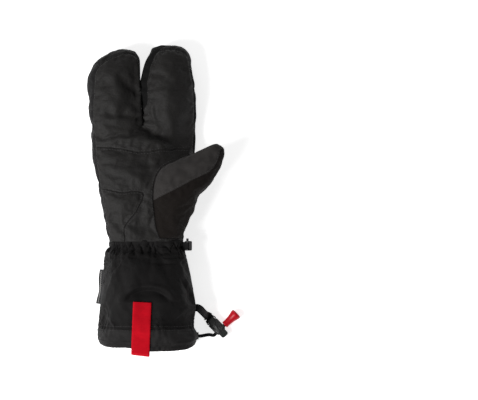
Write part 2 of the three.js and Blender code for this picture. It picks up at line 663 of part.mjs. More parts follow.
// Pull tab: over the hem and back inside it
function pullTab() {
  const lift = TAB_LIFT + TAB_THICKNESS / 2;
  const hemUnder = topAt(-GAUNTLET_LENGTH) - HEM_WALL - lift;
  const turn = (topAt(-GAUNTLET_LENGTH) + lift - hemUnder) / 2;
  const fold = -GAUNTLET_LENGTH - TAB_OVERHANG + turn;
  const start = -GAUNTLET_LENGTH - TAB_OVERHANG + TAB_LENGTH;
  const path = [];
  for (let i = 0; i <= 8; i++) {
    const y = start + ((-GAUNTLET_LENGTH - start) * i) / 8;
    path.push(new THREE.Vector2(y, topAt(y) + lift));
  }
  for (let i = 0; i <= 6; i++) {
    const angle = Math.PI / 2 + (Math.PI * i) / 6;
    path.push(new THREE.Vector2(fold + turn * Math.cos(angle), hemUnder + turn + turn * Math.sin(angle)));
  }
  path.push(new THREE.Vector2(fold + TAB_RETURN / 2, hemUnder - 0.6));
  path.push(new THREE.Vector2(fold + TAB_RETURN, hemUnder - 1.2));
  const flat = strip(path, TAB_THICKNESS, TAB_WIDTH);
  // The strip is drawn with y along the first axis and z along the second
  const upright = new THREE.Matrix4().makeBasis(
    new THREE.Vector3(TAB_SLANT / TAB_LENGTH, 1, 0),
    new THREE.Vector3(0, 0, 1),
    new THREE.Vector3(1, 0, 0),
  );
  return solid(flat.applyMatrix4(upright)).translate(TAB_SLANT, 0, 0);
}

// Side label: a folded flag out of the little-finger side seam, drooping towards the back
function sideLabel() {
  const top = -LABEL_PLACE * GAUNTLET_LENGTH;
  const droop = THREE.MathUtils.degToRad(LABEL_DROOP);
  const out = new THREE.Vector3(-Math.cos(droop), 0, -Math.sin(droop));
  const thick = new THREE.Vector3(-Math.sin(droop), 0, Math.cos(droop)).multiplyScalar(LABEL_THICKNESS / 2);
  const rings = [];
  const steps = 5;
  for (let i = 0; i <= steps; i++) {
    const y = top - (LABEL_LENGTH * i) / steps;
    const seam = new THREE.Vector3(leftAt(y) - SEAM_GAP - LABEL_THICKNESS / 2, y, SIDE_SEAM_HEIGHT);
    const edge = seam.clone().addScaledVector(out, LABEL_WIDTH);
    rings.push([seam.clone().add(thick), edge.clone().add(thick), edge.sub(thick), seam.sub(thick)]);
  }
  return solid(loft(rings));
}

// A rectangle with round corners, centred on the origin.
function roundedRectangle(length, width, radius) {
  const x = length / 2;
  const y = width / 2;
  const shape = new THREE.Shape();
  shape.moveTo(-x + radius, -y);
  shape.lineTo(x - radius, -y).absarc(x - radius, -y + radius, radius, -Math.PI / 2, 0);
  shape.lineTo(x, y - radius).absarc(x - radius, y - radius, radius, 0, Math.PI / 2);
  shape.lineTo(-x + radius, y).absarc(-x + radius, y - radius, radius, Math.PI / 2, Math.PI);
  shape.lineTo(-x, -y + radius).absarc(-x + radius, -y + radius, radius, Math.PI, 1.5 * Math.PI);
  return shape;
}
const hole = (length, width, x = 0, y = 0) =>
  new THREE.Path(
    [[-1, -1], [-1, 1], [1, 1], [1, -1]].map(([a, b]) => new THREE.Vector2(x + (a * length) / 2, y + (b * width) / 2)),
  );

// Wrist clip: a flat hook frame on a webbing tab at the thumb side of the wrist
const CLIP_TAB = 3.6;
const clipBarX = rightAt(0) + SEAM_GAP + CLIP_TAB - CLIP_BAR / 2;
function wristClip() {
  const frame = roundedRectangle(CLIP_LENGTH, CLIP_WIDTH, 1.4);
  const options = { depth: CLIP_THICKNESS, bevelEnabled: false, curveSegments: 3 };
  const plate = new THREE.ExtrudeGeometry(frame, options).translate(0, 0, -CLIP_THICKNESS / 2);
  const slotX = -CLIP_LENGTH / 2 + CLIP_BAR + CLIP_SLOT / 2;
  const slot = new THREE.BoxGeometry(CLIP_SLOT, WEBBING_WIDTH + 1, 2 * CLIP_THICKNESS).translate(slotX, 0, 0);
  const hook = new THREE.BoxGeometry(CLIP_HOOK, CLIP_HOOK * 1.2, CLIP_THICKNESS * 0.8);
  hook.translate(-CLIP_LENGTH * 0.1, CLIP_WIDTH / 2 + CLIP_HOOK * 0.5, 0);
  const clip = joined(solid(plate), solid(hook)).subtract(solid(slot));
  return clip.translate(clipBarX - CLIP_BAR / 2 + CLIP_LENGTH / 2, CLIP_PLACE, SIDE_SEAM_HEIGHT);
}
// Its webbing: from the side seam round the clip's bar and back
function clipWebbing() {
  const hold = CLIP_BAR / 2 + WEBBING_CLEARANCE;
  const rise = CLIP_THICKNESS / 2 + WEBBING_CLEARANCE;
  const from = rightAt(0) + SEAM_GAP;
  const outer = new THREE.Shape();
  const reach = clipBarX + hold + WEBBING_THICKNESS;
  outer.moveTo(from, -WEBBING_THICKNESS);
  outer.lineTo(clipBarX - hold, -rise - WEBBING_THICKNESS);
  outer.lineTo(reach - 0.8, -rise - WEBBING_THICKNESS);
  outer.lineTo(reach, -rise - WEBBING_THICKNESS + 0.8);
  outer.lineTo(reach, rise + WEBBING_THICKNESS - 0.8);
  outer.lineTo(reach - 0.8, rise + WEBBING_THICKNESS);
  outer.lineTo(clipBarX - hold, rise + WEBBING_THICKNESS);
  outer.lineTo(from, WEBBING_THICKNESS);
  outer.holes.push(hole(2 * hold, 2 * rise, clipBarX));
  const loop = new THREE.ExtrudeGeometry(outer, { depth: WEBBING_WIDTH, bevelEnabled: false });
  loop.translate(0, 0, -WEBBING_WIDTH / 2).rotateX(Math.PI / 2);
  return solid(loop.translate(0, CLIP_PLACE, SIDE_SEAM_HEIGHT));
}

// Cord lock: lies on the surface beside the hem, its axis slanting down and away from the gauntlet
const LOCK_TURN = THREE.MathUtils.degToRad(-46);
const lockCentre = new THREE.Vector3(CUFF_WIDTH * 0.743, -GAUNTLET_LENGTH * 0.779, FLOOR_CLEARANCE + LOCK_THICKNESS / 2);
const cordHoleX = LOCK_LENGTH * 0.31;
const cordHoleLength = CORD_SPACING + CORD_DIAMETER + 2 * CORD_CLEARANCE;
const cordHoleHeight = CORD_DIAMETER + 2 * CORD_CLEARANCE;
const inLock = (made) =>
  made.rotate([0, 0, THREE.MathUtils.radToDeg(LOCK_TURN)]).translate(lockCentre.toArray());
const fromLock = (x, y, z = 0) =>
  new THREE.Vector3(x, y, z).applyAxisAngle(new THREE.Vector3(0, 0, 1), LOCK_TURN).add(lockCentre);
const block = (length, width, height, x = 0) => solid(new THREE.BoxGeometry(length, width, height).translate(x, 0, 0));
const slotX = -LOCK_LENGTH / 2 + LOCK_END_BAR + LOCK_SLOT / 2;
const endBarHalf = LOCK_WIDTH / 2 - WEBBING_THICKNESS - 2 * WEBBING_CLEARANCE;
const PLUNGER_LENGTH = LOCK_LENGTH * 0.62;
const plungerStart = LOCK_LENGTH / 2 + PLUNGER_OUT - PLUNGER_LENGTH;
function lockBody() {
  const outline = roundedRectangle(LOCK_LENGTH, LOCK_WIDTH, 3);
  const bevel = { bevelThickness: 1, bevelSize: 1, bevelOffset: -1, bevelSegments: 1, curveSegments: 3 };
  const depth = LOCK_THICKNESS - 2;
  const body = solid(new THREE.ExtrudeGeometry(outline, { depth, ...bevel }).translate(0, 0, -depth / 2));
  const wide = LOCK_WIDTH + 2;
  const slot = block(LOCK_SLOT, wide, WEBBING_WIDTH + 2 * WEBBING_CLEARANCE, slotX);
  const deepest = plungerStart - PLUNGER_TRAVEL - PLUNGER_CLEARANCE;
  const bore = block(
    LOCK_LENGTH,
    PLUNGER_WIDTH + 2 * PLUNGER_CLEARANCE,
    PLUNGER_THICKNESS + 2 * PLUNGER_CLEARANCE,
    deepest + LOCK_LENGTH / 2,
  );
  const neck = LOCK_END_BAR + LOCK_SLOT;
  const notches = block(neck, wide, LOCK_THICKNESS, (neck - LOCK_LENGTH) / 2).subtract(
    block(neck, 2 * endBarHalf, LOCK_THICKNESS, (neck - LOCK_LENGTH) / 2),
  );
  const cordHole = block(cordHoleLength, wide, cordHoleHeight, cordHoleX);
  return body.subtract(slot).subtract(notches).subtract(bore).subtract(cordHole);
}
function plunger() {
  const outline = roundedRectangle(PLUNGER_LENGTH, PLUNGER_WIDTH, 2.4);
  const body = new THREE.ExtrudeGeometry(outline, { depth: PLUNGER_THICKNESS, bevelEnabled: false, curveSegments: 4 });
  body.translate(plungerStart + PLUNGER_LENGTH / 2, 0, -PLUNGER_THICKNESS / 2);
  const slotLength = cordHoleLength + PLUNGER_TRAVEL;
  return solid(body).subtract(block(slotLength, PLUNGER_WIDTH + 2, cordHoleHeight, cordHoleX + PLUNGER_TRAVEL / 2));
}

// Cord end: a flared, dished handle that both strands run into
const END_RISE = Math.asin(
  (CORD_END_MOUTH_RADIUS + FLOOR_CLEARANCE - lockCentre.z) / CORD_END_LENGTH,
);
const endStart = fromLock(cordHoleX, LOCK_WIDTH / 2 + SEAM_GAP + 0.5);
function cordEnd() {
  const profile = [
    [CORD_IN_END + 0.6, 0],
    [CORD_IN_END + 0.6, CORD_SPACING / 2 + CORD_DIAMETER / 2 + CORD_CLEARANCE],
    [0, CORD_SPACING / 2 + CORD_DIAMETER / 2 + CORD_CLEARANCE],
    [0, CORD_END_NECK_RADIUS],
    [CORD_END_LENGTH * 0.35, CORD_END_NECK_RADIUS * 1.06],
    [CORD_END_LENGTH * 0.62, CORD_END_NECK_RADIUS * 1.22],
    [CORD_END_LENGTH * 0.85, CORD_END_MOUTH_RADIUS * 0.94],
    [CORD_END_LENGTH * 0.95, CORD_END_MOUTH_RADIUS],
    [CORD_END_LENGTH, CORD_END_MOUTH_RADIUS * 0.82],
    [CORD_END_LENGTH, 0],
  ].map(([along, radius]) => new THREE.Vector2(radius, along));
  const turned = new THREE.LatheGeometry(profile, 18);
  turned.rotateX(END_RISE).rotateZ(LOCK_TURN);
  return solid(turned.translate(endStart.x, endStart.y, endStart.z));
}

// Drawcord guide: the small eyelet tunnel on the hem's thumb-side corner
const guideY = -GAUNTLET_LENGTH + HEM_HEIGHT * 0.56;
const guideZ = GUIDE_LIFT + GUIDE_HEIGHT / 2;
const guideCentre = new THREE.Vector3(
  rightSide(guideY, guideZ + GUIDE_HEIGHT / 2) + SEAM_GAP + GUIDE_LENGTH / 2,
  guideY,
  guideZ,
);
function cordGuide() {
  const outline = roundedRectangle(GUIDE_WIDTH, GUIDE_HEIGHT, 1.5);
  outline.holes.push(hole(CORD_SPACING + CORD_DIAMETER + 2 * CORD_CLEARANCE, CORD_DIAMETER + 2 * CORD_CLEARANCE));
  const guide = new THREE.ExtrudeGeometry(outline, { depth: GUIDE_LENGTH, bevelEnabled: false, curveSegments: 3 });
  guide.translate(0, 0, -GUIDE_LENGTH / 2).rotateX(Math.PI / 2).rotateZ(Math.PI / 2);
  return solid(guide.translate(guideCentre.x, guideCentre.y, guideCentre.z));
}

// The route of the doubled drawcord's middle line, chosen by hand: guide, floor, lock, cord end
const turnedByLock = (x, y, z) => new THREE.Vector3(x, y, z).applyAxisAngle(new THREE.Vector3(0, 0, 1), LOCK_TURN);
const cordRoute = new THREE.CatmullRomCurve3([
  guideCentre.clone().add(new THREE.Vector3(-GUIDE_LENGTH * 0.4, 0, 0)),
  guideCentre.clone().add(new THREE.Vector3(GUIDE_LENGTH * 0.2, 0, 0)),
  guideCentre.clone().add(new THREE.Vector3(GUIDE_LENGTH * 0.8, -0.2, -0.5)),
  guideCentre.clone().lerp(fromLock(cordHoleX, -LOCK_WIDTH / 2), 0.66).add(new THREE.Vector3(0, -0.6, -1.8)),
  fromLock(cordHoleX, -LOCK_WIDTH / 2 - 3, 0.2),
  fromLock(cordHoleX, -LOCK_WIDTH / 2),
  fromLock(cordHoleX, LOCK_WIDTH / 2),
  endStart.clone(),
  endStart.clone().add(turnedByLock(0, CORD_IN_END * Math.cos(END_RISE), CORD_IN_END * Math.sin(END_RISE))),
]);

// One of its two strands, beside the middle line on the level
function cordStrand(side) {
  const up = new THREE.Vector3(0, 0, 1);
  const steps = 20;
  const points = [];
  for (let i = 0; i <= steps; i++) {
    const across = up.clone().cross(cordRoute.getTangentAt(i / steps)).normalize();
    points.push(cordRoute.getPointAt(i / steps).addScaledVector(across, (side * CORD_SPACING) / 2));
  }
  const section = new THREE.Shape();
  section.absarc(0, 0, CORD_DIAMETER / 2, 0, 2 * Math.PI);
  const extrudePath = new THREE.CatmullRomCurve3(points);
  return solid(new THREE.ExtrudeGeometry(section, { extrudePath, steps, curveSegments: 4, bevelEnabled: false }));
}

// Webbing loop from the gauntlet's side seam through the lock's slot and back
function lockWebbing() {
  const rootY = -GAUNTLET_LENGTH * 0.595;
  const ply = (WEBBING_THICKNESS + WEBBING_CLEARANCE) / 2;
  const root = new THREE.Vector3(rightAt(rootY) + SEAM_GAP, rootY, SIDE_SEAM_HEIGHT);
  const fromRoot = (x, y, z) => root.clone().add(new THREE.Vector3(x, y, z));
  const near = endBarHalf + WEBBING_CLEARANCE + WEBBING_THICKNESS / 2;
  const path = new THREE.CatmullRomCurve3([
    fromRoot(0, 0, ply),
    fromRoot(1.6, -0.2, ply),
    fromRoot(5.6, -2.6, ply - 1.4),
    fromRoot(9.6, -6.6, -6.4),
    fromLock(-LOCK_LENGTH / 2 - 2.6, near, 4.2),
    fromLock(-LOCK_LENGTH / 2 + 0.6, near, 0.6),
    fromLock(slotX - 0.2, near - 0.1, 0),
    fromLock(slotX, 0, 0),
    fromLock(slotX - 0.2, 0.1 - near, 0),
    fromLock(-LOCK_LENGTH / 2 + 0.6, -near, 0.6),
    fromLock(-LOCK_LENGTH / 2 - 3, -near * 0.9, 3.4),
    fromRoot(8.2, -9.4, -10),
    fromRoot(4.8, -3.6, -ply - 2.6),
    fromRoot(1.6, -0.4, -ply),
    fromRoot(0, -0.2, -ply),
  ]);
  const steps = 40;
  const rings = [];
  for (let i = 0; i <= steps; i++) {
    const share = i / steps;
    const centre = path.getPointAt(share);
    const along = path.getTangentAt(share);
    const flat = Math.min(1, Math.abs(share - 0.5) / 0.5);
    const turn = Math.max(0, (flat - 0.45) / 0.55);
    const wide = new THREE.Vector3(0, turn, 1 - turn).normalize();
    wide.addScaledVector(along, -wide.dot(along)).normalize();
    const thick = along.clone().cross(wide).normalize();
    rings.push(
      [[-1, -1], [1, -1], [1, 1], [-1, 1]].map(([a, b]) =>
        centre
          .clone()
          .addScaledVector(wide, (a * WEBBING_WIDTH) / 2)
          .addScaledVector(thick, (b * WEBBING_THICKNESS) / 2),
      ),
    );
  }
  return solid(loft(rings));
}

// Finishes, one for each material of the mitt
const finish = (color, roughness) => new THREE.MeshStandardMaterial({ color, roughness, metalness: 0 });
const PALM_LEATHER = finish(0x302f2f, 0.6);
const WOVEN_NYLON = finish(0x1c1b1b, 0.75);
const THUMB_SUEDE = finish(0x2b2828, 0.95);
const GAUNTLET_NYLON = finish(0x232222, 0.7);
const RED_RIBBON = finish(0xb3121f, 0.7);
const RED_RUBBER = finish(0xc4142a, 0.35);
const BLACK_WEBBING = finish(0x111111, 0.8);
const BLACK_PLASTIC = finish(0x151515, 0.3);
const CORD_SHEATH = finish(0x161616, 0.7);
const LABEL_TAPE = finish(0x1a1a1a, 0.6);

const mitt = new THREE.Group();
const leaving = new THREE.Group();
function piece(name, made, material, group = mitt) {
  const mesh = new THREE.Mesh(geometryOf(made), material);
  mesh.name = name;
  group.add(mesh);
}

piece("palm_fingers", palmFingers, PALM_LEATHER);
piece("palm_middle", palmMiddle, PALM_LEATHER);
piece("palm_heel", heel, PALM_LEATHER);
piece("back_panel", backPanel, WOVEN_NYLON);
piece("index_side_strip", sideStrip, WOVEN_NYLON);
piece("finger_slit_strip", slitStrip, WOVEN_NYLON);
piece("index_tip_cap", indexCap, PALM_LEATHER);
piece("ring_tip_cap", ringCap, PALM_LEATHER);
piece("thumb_front", thumbFront, THUMB_SUEDE);
piece("thumb_gusset", thumbGusset, WOVEN_NYLON);
piece("gauntlet_palm_half", gauntlet.intersect(upperHalf), GAUNTLET_NYLON);
piece("gauntlet_back_half", gauntlet.intersect(lowerHalf), GAUNTLET_NYLON);
piece("hem_casing", hemTube(), GAUNTLET_NYLON);
piece("pull_tab", pullTab(), RED_RIBBON);
piece("side_label", sideLabel(), LABEL_TAPE);
piece("wrist_clip", wristClip(), BLACK_PLASTIC);
piece("clip_webbing", clipWebbing(), BLACK_WEBBING);
piece("lock_webbing", lockWebbing(), BLACK_WEBBING);
piece("cord_guide", cordGuide(), BLACK_PLASTIC);
piece("cord_lock_body", inLock(lockBody()), BLACK_PLASTIC, leaving);
piece("cord_lock_plunger", inLock(plunger()), BLACK_PLASTIC, leaving);
piece("cord_end", cordEnd(), RED_RUBBER, leaving);
piece("drawcord_upper", cordStrand(1), CORD_SHEATH, leaving);
piece("drawcord_lower", cordStrand(-1), CORD_SHEATH, leaving);

// The origin is under the middle of the mitt's own box, without the drawcord and what is on it
const box = new THREE.Box3().setFromObject(mitt);
const middle = box.getCenter(new THREE.Vector3());
const part = new THREE.Group();
part.add(mitt, leaving);
part.position.set(-middle.x, -middle.y, 0);

export default part;
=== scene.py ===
"""A lobster claw mitt lying on its back, palm up, laid out as an add-on.

Working lengths are millimetres from the middle of the wrist line.
piece() turns them into metres in the frame.
"""

import math
from collections import namedtuple

import bpy
import numpy as np
from bpy.props import FloatProperty, FloatVectorProperty, IntProperty, PointerProperty
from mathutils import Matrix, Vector
from mathutils.bvhtree import BVHTree
from mathutils.kdtree import KDTree


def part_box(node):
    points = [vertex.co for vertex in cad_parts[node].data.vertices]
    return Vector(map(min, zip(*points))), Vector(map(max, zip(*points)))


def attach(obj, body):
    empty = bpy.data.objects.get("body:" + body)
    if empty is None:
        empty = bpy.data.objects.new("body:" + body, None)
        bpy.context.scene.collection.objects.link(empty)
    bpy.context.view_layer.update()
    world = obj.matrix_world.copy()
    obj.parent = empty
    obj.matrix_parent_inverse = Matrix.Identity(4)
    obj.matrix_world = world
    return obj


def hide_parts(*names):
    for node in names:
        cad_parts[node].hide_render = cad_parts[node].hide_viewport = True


bl_info = {
    "name": "Lobster Claw Mitt",
    "version": (1, 0, 0),
    "blender": (4, 5, 0),
    "location": "View3D > Sidebar > Mitt",
    "description": "Dresses the packed mitt with cloth panels, seams, trim and cord",
    "category": "Object",
}

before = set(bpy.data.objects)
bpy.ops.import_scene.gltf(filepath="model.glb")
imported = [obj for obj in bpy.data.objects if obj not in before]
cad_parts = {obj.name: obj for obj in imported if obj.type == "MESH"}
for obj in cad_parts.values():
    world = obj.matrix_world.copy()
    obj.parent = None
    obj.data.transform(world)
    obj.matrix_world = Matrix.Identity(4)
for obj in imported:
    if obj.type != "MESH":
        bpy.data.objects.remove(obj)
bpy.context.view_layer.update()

# Where the wrist line's middle lies in the frame, from the CAD hem and the seam above the gathers
HEM_SIDE = 48.96
GATHER_SEAM = 8.0
MM = 0.001
WRIST_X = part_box("hem_casing")[0][0] / MM + HEM_SIDE
WRIST_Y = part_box("gauntlet_palm_half")[1][1] / MM - GATHER_SEAM

# Outline of the hand, fingers and gauntlet as shares of the sizes in MittSizes
Section = namedtuple("Section", "at left right low high")
HAND = (
    Section(0.1, -0.337, 0.395, 0.03, 0.94),
    Section(0.2, -0.374, 0.44, -0.03, 1.0),
    Section(0.32, -0.416, 0.472, -0.05, 0.99),
    Section(0.42, -0.45, 0.484, -0.05, 0.95),
    Section(0.52, -0.467, 0.491, -0.04, 0.92),
    Section(0.64, -0.48, 0.498, -0.02, 0.88),
)
RING_FINGER = (
    Section(0.5, -0.45, 0.0, 0.02, 0.9),
    Section(0.58, -0.474, 0.004, 0.0, 0.98),
    Section(0.65, -0.492, 0.0, 0.02, 1.0),
    Section(0.73, -0.498, -0.018, 0.04, 1.02),
    Section(0.8, -0.505, -0.024, 0.06, 1.0),
    Section(0.86, -0.494, -0.027, 0.09, 0.98),
    Section(0.9, -0.455, -0.03, 0.11, 0.96),
    Section(0.935, -0.382, -0.04, 0.13, 0.94),
    Section(0.965, -0.275, -0.07, 0.15, 0.92),
    Section(0.979, -0.2, -0.12, 0.16, 0.91),
)
INDEX_FINGER = (
    Section(0.5, 0.022, 0.475, 0.02, 0.9),
    Section(0.58, 0.018, 0.493, 0.0, 0.98),
    Section(0.65, 0.012, 0.498, 0.02, 1.02),
    Section(0.73, 0.006, 0.495, 0.04, 1.04),
    Section(0.8, -0.004, 0.487, 0.06, 1.02),
    Section(0.86, -0.002, 0.468, 0.09, 1.0),
    Section(0.9, 0.014, 0.457, 0.11, 0.98),
    Section(0.94, 0.042, 0.446, 0.13, 0.96),
    Section(0.97, 0.07, 0.41, 0.15, 0.94),
    Section(0.992, 0.13, 0.35, 0.17, 0.92),
    Section(1.0, 0.2, 0.28, 0.18, 0.91),
)
GAUNTLET = (
    Section(1.06, -0.4, 0.53, -0.04, 0.97),
    Section(1.0, -0.41, 0.54, -0.04, 0.98),
    Section(0.92, -0.438, 0.554, -0.05, 1.0),
    Section(0.8, -0.447, 0.54, -0.04, 0.99),
    Section(0.72, -0.449, 0.52, -0.04, 0.97),
    Section(0.6, -0.447, 0.543, -0.04, 0.97),
    Section(0.46, -0.436, 0.53, -0.04, 0.96),
    Section(0.32, -0.415, 0.502, -0.03, 0.94),
    Section(0.175, -0.396, 0.462, 0.0, 0.87),
    Section(0.09, -0.385, 0.441, 0.04, 0.8),
    Section(0.04, -0.366, 0.425, 0.08, 0.74),
)

# The slit's two edges, which touch as far as 0.81 and then part
SLIT_EDGES = (
    (0.56, 0.015, 0.0155), (0.6, 0.0095, 0.01), (0.65, 0.0018, 0.0024), (0.73, -0.0095, -0.0088),
    (0.79, -0.0185, -0.0175), (0.815, -0.022, -0.018), (0.85, -0.0245, -0.004), (0.9, -0.025, 0.0195),
    (0.94, -0.031, 0.051), (0.965, -0.058, 0.086), (1.0, -0.08, 0.13),
)

# How far the gauntlet's cloth reaches on either side, and how the rim runs across it (mm from the wrist line)
GAUNTLET_SIDES = (
    (1.06, -0.4, 0.52), (1.0, -0.425, 0.535), (0.955, -0.442, 0.55), (0.905, -0.448, 0.564),
    (0.845, -0.45, 0.555), (0.79, -0.449, 0.527), (0.71, -0.439, 0.526), (0.58, -0.424, 0.541),
    (0.44, -0.407, 0.519), (0.3, -0.394, 0.4915), (0.175, -0.391, 0.464), (0.09, -0.381, 0.443),
    (0.04, -0.366, 0.431), (0.0, -0.338, 0.412),
)
RIM = (
    (-52.0, 11.5), (-48.5, 8.2), (-45, 5.4), (-39, 3.3), (-25, 2.8), (-12, 2.3), (2, -0.6),
    (12, -1.2), (36, -0.7), (49, 0.4), (54, 2.2), (58, 5.0), (61, 9.0), (64, 12.0),
)

# Thumb sections from the wrist out: both edges in plan, its underside and its top, as shares
ThumbSection = namedtuple("ThumbSection", "at left_x left_y right_x right_y low high")
THUMB = (
    ThumbSection(0, 0.115, 0.05, 0.375, 0.045, 0.25, 0.74),
    ThumbSection(1, 0.1, 0.13, 0.425, 0.12, 0.22, 0.84),
    ThumbSection(2, 0.092, 0.21, 0.505, 0.205, 0.25, 0.93),
    ThumbSection(3, 0.102, 0.28, 0.552, 0.255, 0.29, 0.98),
    ThumbSection(4, 0.13, 0.342, 0.603, 0.29, 0.34, 1.0),
    ThumbSection(5, 0.195, 0.393, 0.65, 0.323, 0.38, 1.0),
    ThumbSection(6, 0.32, 0.428, 0.697, 0.37, 0.42, 0.99),
    ThumbSection(7, 0.46, 0.459, 0.735, 0.415, 0.47, 0.96),
    ThumbSection(8, 0.575, 0.486, 0.757, 0.448, 0.51, 0.93),
    ThumbSection(9, 0.65, 0.503, 0.766, 0.475, 0.56, 0.88),
    ThumbSection(10, 0.698, 0.509, 0.748, 0.497, 0.64, 0.8),
)

# Sewn lines in plan, as shares of the hand's width and length
PALM_ARC = (
    (-0.8, 0.49), (-0.4, 0.494), (-0.2, 0.487), (-0.03, 0.467), (0.08, 0.472), (0.17, 0.48), (0.8, 0.5),
)
HEEL_EDGE = (
    (-0.8, 0.33), (-0.34, 0.287), (-0.26, 0.276), (-0.185, 0.269), (-0.08, 0.275), (-0.027, 0.275),
    (0.012, 0.268), (0.018, 0.257), (0.005, 0.23), (-0.049, 0.17), (-0.128, 0.125), (-0.163, 0.092),
    (-0.157, 0.05), (-0.157, -0.1), (-0.8, -0.1),
)
THUMB_SEAM = (
    (-0.4, 0.17), (0.11, 0.233), (0.296, 0.28), (0.482, 0.333), (0.62, 0.367), (0.675, 0.393), (0.71, 0.43),
    (0.734, 0.48), (0.8, 0.56), (1.2, 0.75),
)
INDEX_CAP = ((-0.05, 0.93), (0.08, 0.9588), (0.19, 0.9588), (0.29, 0.9415), (0.41, 0.887), (0.7, 0.85))
RING_CAP = ((-0.7, 0.84), (-0.4, 0.892), (-0.335, 0.905), (-0.17, 0.9246), (-0.07, 0.915), (0.1, 0.9))

# How far the palm panel's seam stays inside the outline, by place along the hand (share of length)
Inset = namedtuple("Inset", "at little_side slit_ring slit_index index_side")
PALM_INSETS = (
    Inset(0.0, 1.2, 1.0, 1.0, 1.5),
    Inset(0.25, 2.8, 1.0, 1.0, 1.5),
    Inset(0.5, 3.7, -1.5, -1.5, 1.6),
    Inset(0.6, 3.9, -1.5, -1.5, 1.6),
    Inset(0.625, 4.0, 0.4, 0.5, 1.6),
    Inset(0.67, 4.6, 0.9, 3.4, 1.7),
    Inset(0.72, 5.6, 1.0, 6.0, 1.8),
    Inset(0.8, 7.4, 1.0, 7.0, 1.9),
    Inset(0.9, 7.0, 1.4, 7.3, 2.4),
    Inset(1.0, 6.0, 5.5, 7.5, 3.6),
)
TIP_INSET = 5.6

# Heights, lengths and gaps that the seams and the skin share (mm)
FINGER_SEAM_HEIGHT = 21.5
FINGER_LENGTH = 86.0
FINGER_GAP = 3.2
WRIST_LIFT = 5.0
LEAST_HEIGHT = 0.2

# Soft hollows and folds on the palm (1) or the back (-1): where they lie, as shares of the hand's width
# and length, how they are turned (degrees), and how long, wide and deep they are (mm); a ridge is negative
Fold = namedtuple("Fold", "side x y turn length width depth")
FOLDS = (
    Fold(1, 0.22, 0.538, -28, 18, 4.6, 3.4),
    Fold(1, 0.17, 0.503, -28, 17, 3.8, -1.5),
    Fold(1, 0.31, 0.5, -40, 20, 9.0, 3.2),
    Fold(1, 0.42, 0.63, 6, 14, 5.0, 1.6),
    Fold(1, 0.43, 0.54, 68, 22, 12.0, 3.0),
    Fold(1, 0.3, 0.46, 38, 20, 8.0, 4.0),
    Fold(1, -0.22, 0.655, -3, 22, 3.6, 1.5),
    Fold(1, -0.05, 0.76, 70, 20, 6.0, 1.7),
    Fold(1, -0.12, 0.58, -25, 14, 5.0, 1.1),
    Fold(1, -0.24, 0.5, 18, 18, 6.0, 0.9),
    Fold(1, 0.13, 0.66, 80, 18, 4.0, 1.0),
    Fold(1, 0.2, 0.8, 30, 14, 5.0, 0.9),
    Fold(1, -0.33, 0.8, 60, 12, 4.0, 0.9),
    Fold(1, 0.05, 0.36, 84, 24, 6.0, 1.6),
    Fold(1, 0.01, 0.2, 75, 14, 5.0, 1.2),
    Fold(1, -0.2, 0.38, -35, 18, 7.0, 0.8),
    Fold(1, -0.14, 0.72, 78, 26, 7.0, 2.0),
    Fold(1, 0.4, 0.385, 40, 17, 2.2, 0.7),
    Fold(1, 0.5, 0.445, 34, 15, 1.9, 0.6),
    Fold(1, 0.56, 0.425, 38, 15, 2.2, 0.7),
    Fold(1, 0.3, 0.33, 54, 14, 2.6, 0.7),
    Fold(1, 0.45, 0.36, 36, 18, 2.4, -0.5),
    Fold(-1, 0.3, 0.765, -10, 26, 3.2, 2.2),
    Fold(-1, 0.24, 0.68, 6, 24, 3.0, 2.0),
    Fold(-1, 0.25, 0.55, 20, 30, 4.0, 2.4),
    Fold(-1, -0.3, 0.625, 8, 26, 3.2, 2.0),
    Fold(-1, -0.3, 0.745, 10, 24, 3.0, 1.6),
    Fold(-1, -0.1, 0.3, -32, 46, 3.5, 1.5),
    Fold(-1, 0.1, 0.42, -20, 30, 6.0, 1.2),
)

# The same for the gauntlet, as shares of the cuff's width and the gauntlet's length
GAUNTLET_FOLDS = (
    Fold(1, -0.225, -0.2, 96, 20, 4.5, 1.7),
    Fold(1, -0.31, -0.26, 82, 20, 4.5, -0.9),
    Fold(1, 0.088, -0.19, 84, 18, 4.5, 1.7),
    Fold(1, -0.07, -0.3, 74, 24, 6.5, -1.1),
    Fold(1, 0.25, -0.22, 108, 22, 4.8, 1.5),
    Fold(1, 0.33, -0.38, 100, 24, 6.0, 1.3),
    Fold(1, 0.475, -0.375, 80, 14, 3.2, -1.0),
    Fold(1, 0.376, -0.663, 40, 17, 3.0, -1.3),
    Fold(1, 0.33, -0.735, 40, 18, 3.4, 1.4),
    Fold(1, -0.3, -0.5, 74, 26, 6.0, 1.1),
    Fold(1, -0.4, -0.68, 64, 13, 3.4, 1.0),
    Fold(1, -0.22, -0.72, 14, 16, 3.6, 0.9),
    Fold(-1, -0.15, -0.3, 70, 26, 5.0, 1.8),
    Fold(-1, 0.1, -0.42, -35, 26, 4.5, 1.6),
    Fold(-1, -0.25, -0.52, 50, 22, 4.5, 1.5),
    Fold(-1, 0.3, -0.25, 100, 20, 4.5, 1.5),
    Fold(-1, 0.02, -0.18, 86, 18, 4.0, 1.5),
)

# Seams sewn across the back, over the knuckles and from the thumb's root to the little finger's side
BACK_SEAMS = (
    ((0.45, 0.168), (0.226, 0.2135), (0.0, 0.262), (-0.158, 0.305), (-0.32, 0.348), (-0.46, 0.41)),
    ((-0.02, 0.588), (-0.076, 0.595), (-0.18, 0.6), (-0.279, 0.611), (-0.5, 0.64)),
)


def size_setting(name, description, value):
    return FloatProperty(name=name, description=description, default=value, unit="LENGTH")


def colour_setting(name, description, value):
    return FloatVectorProperty(name=name, description=description, subtype="COLOR", default=value)


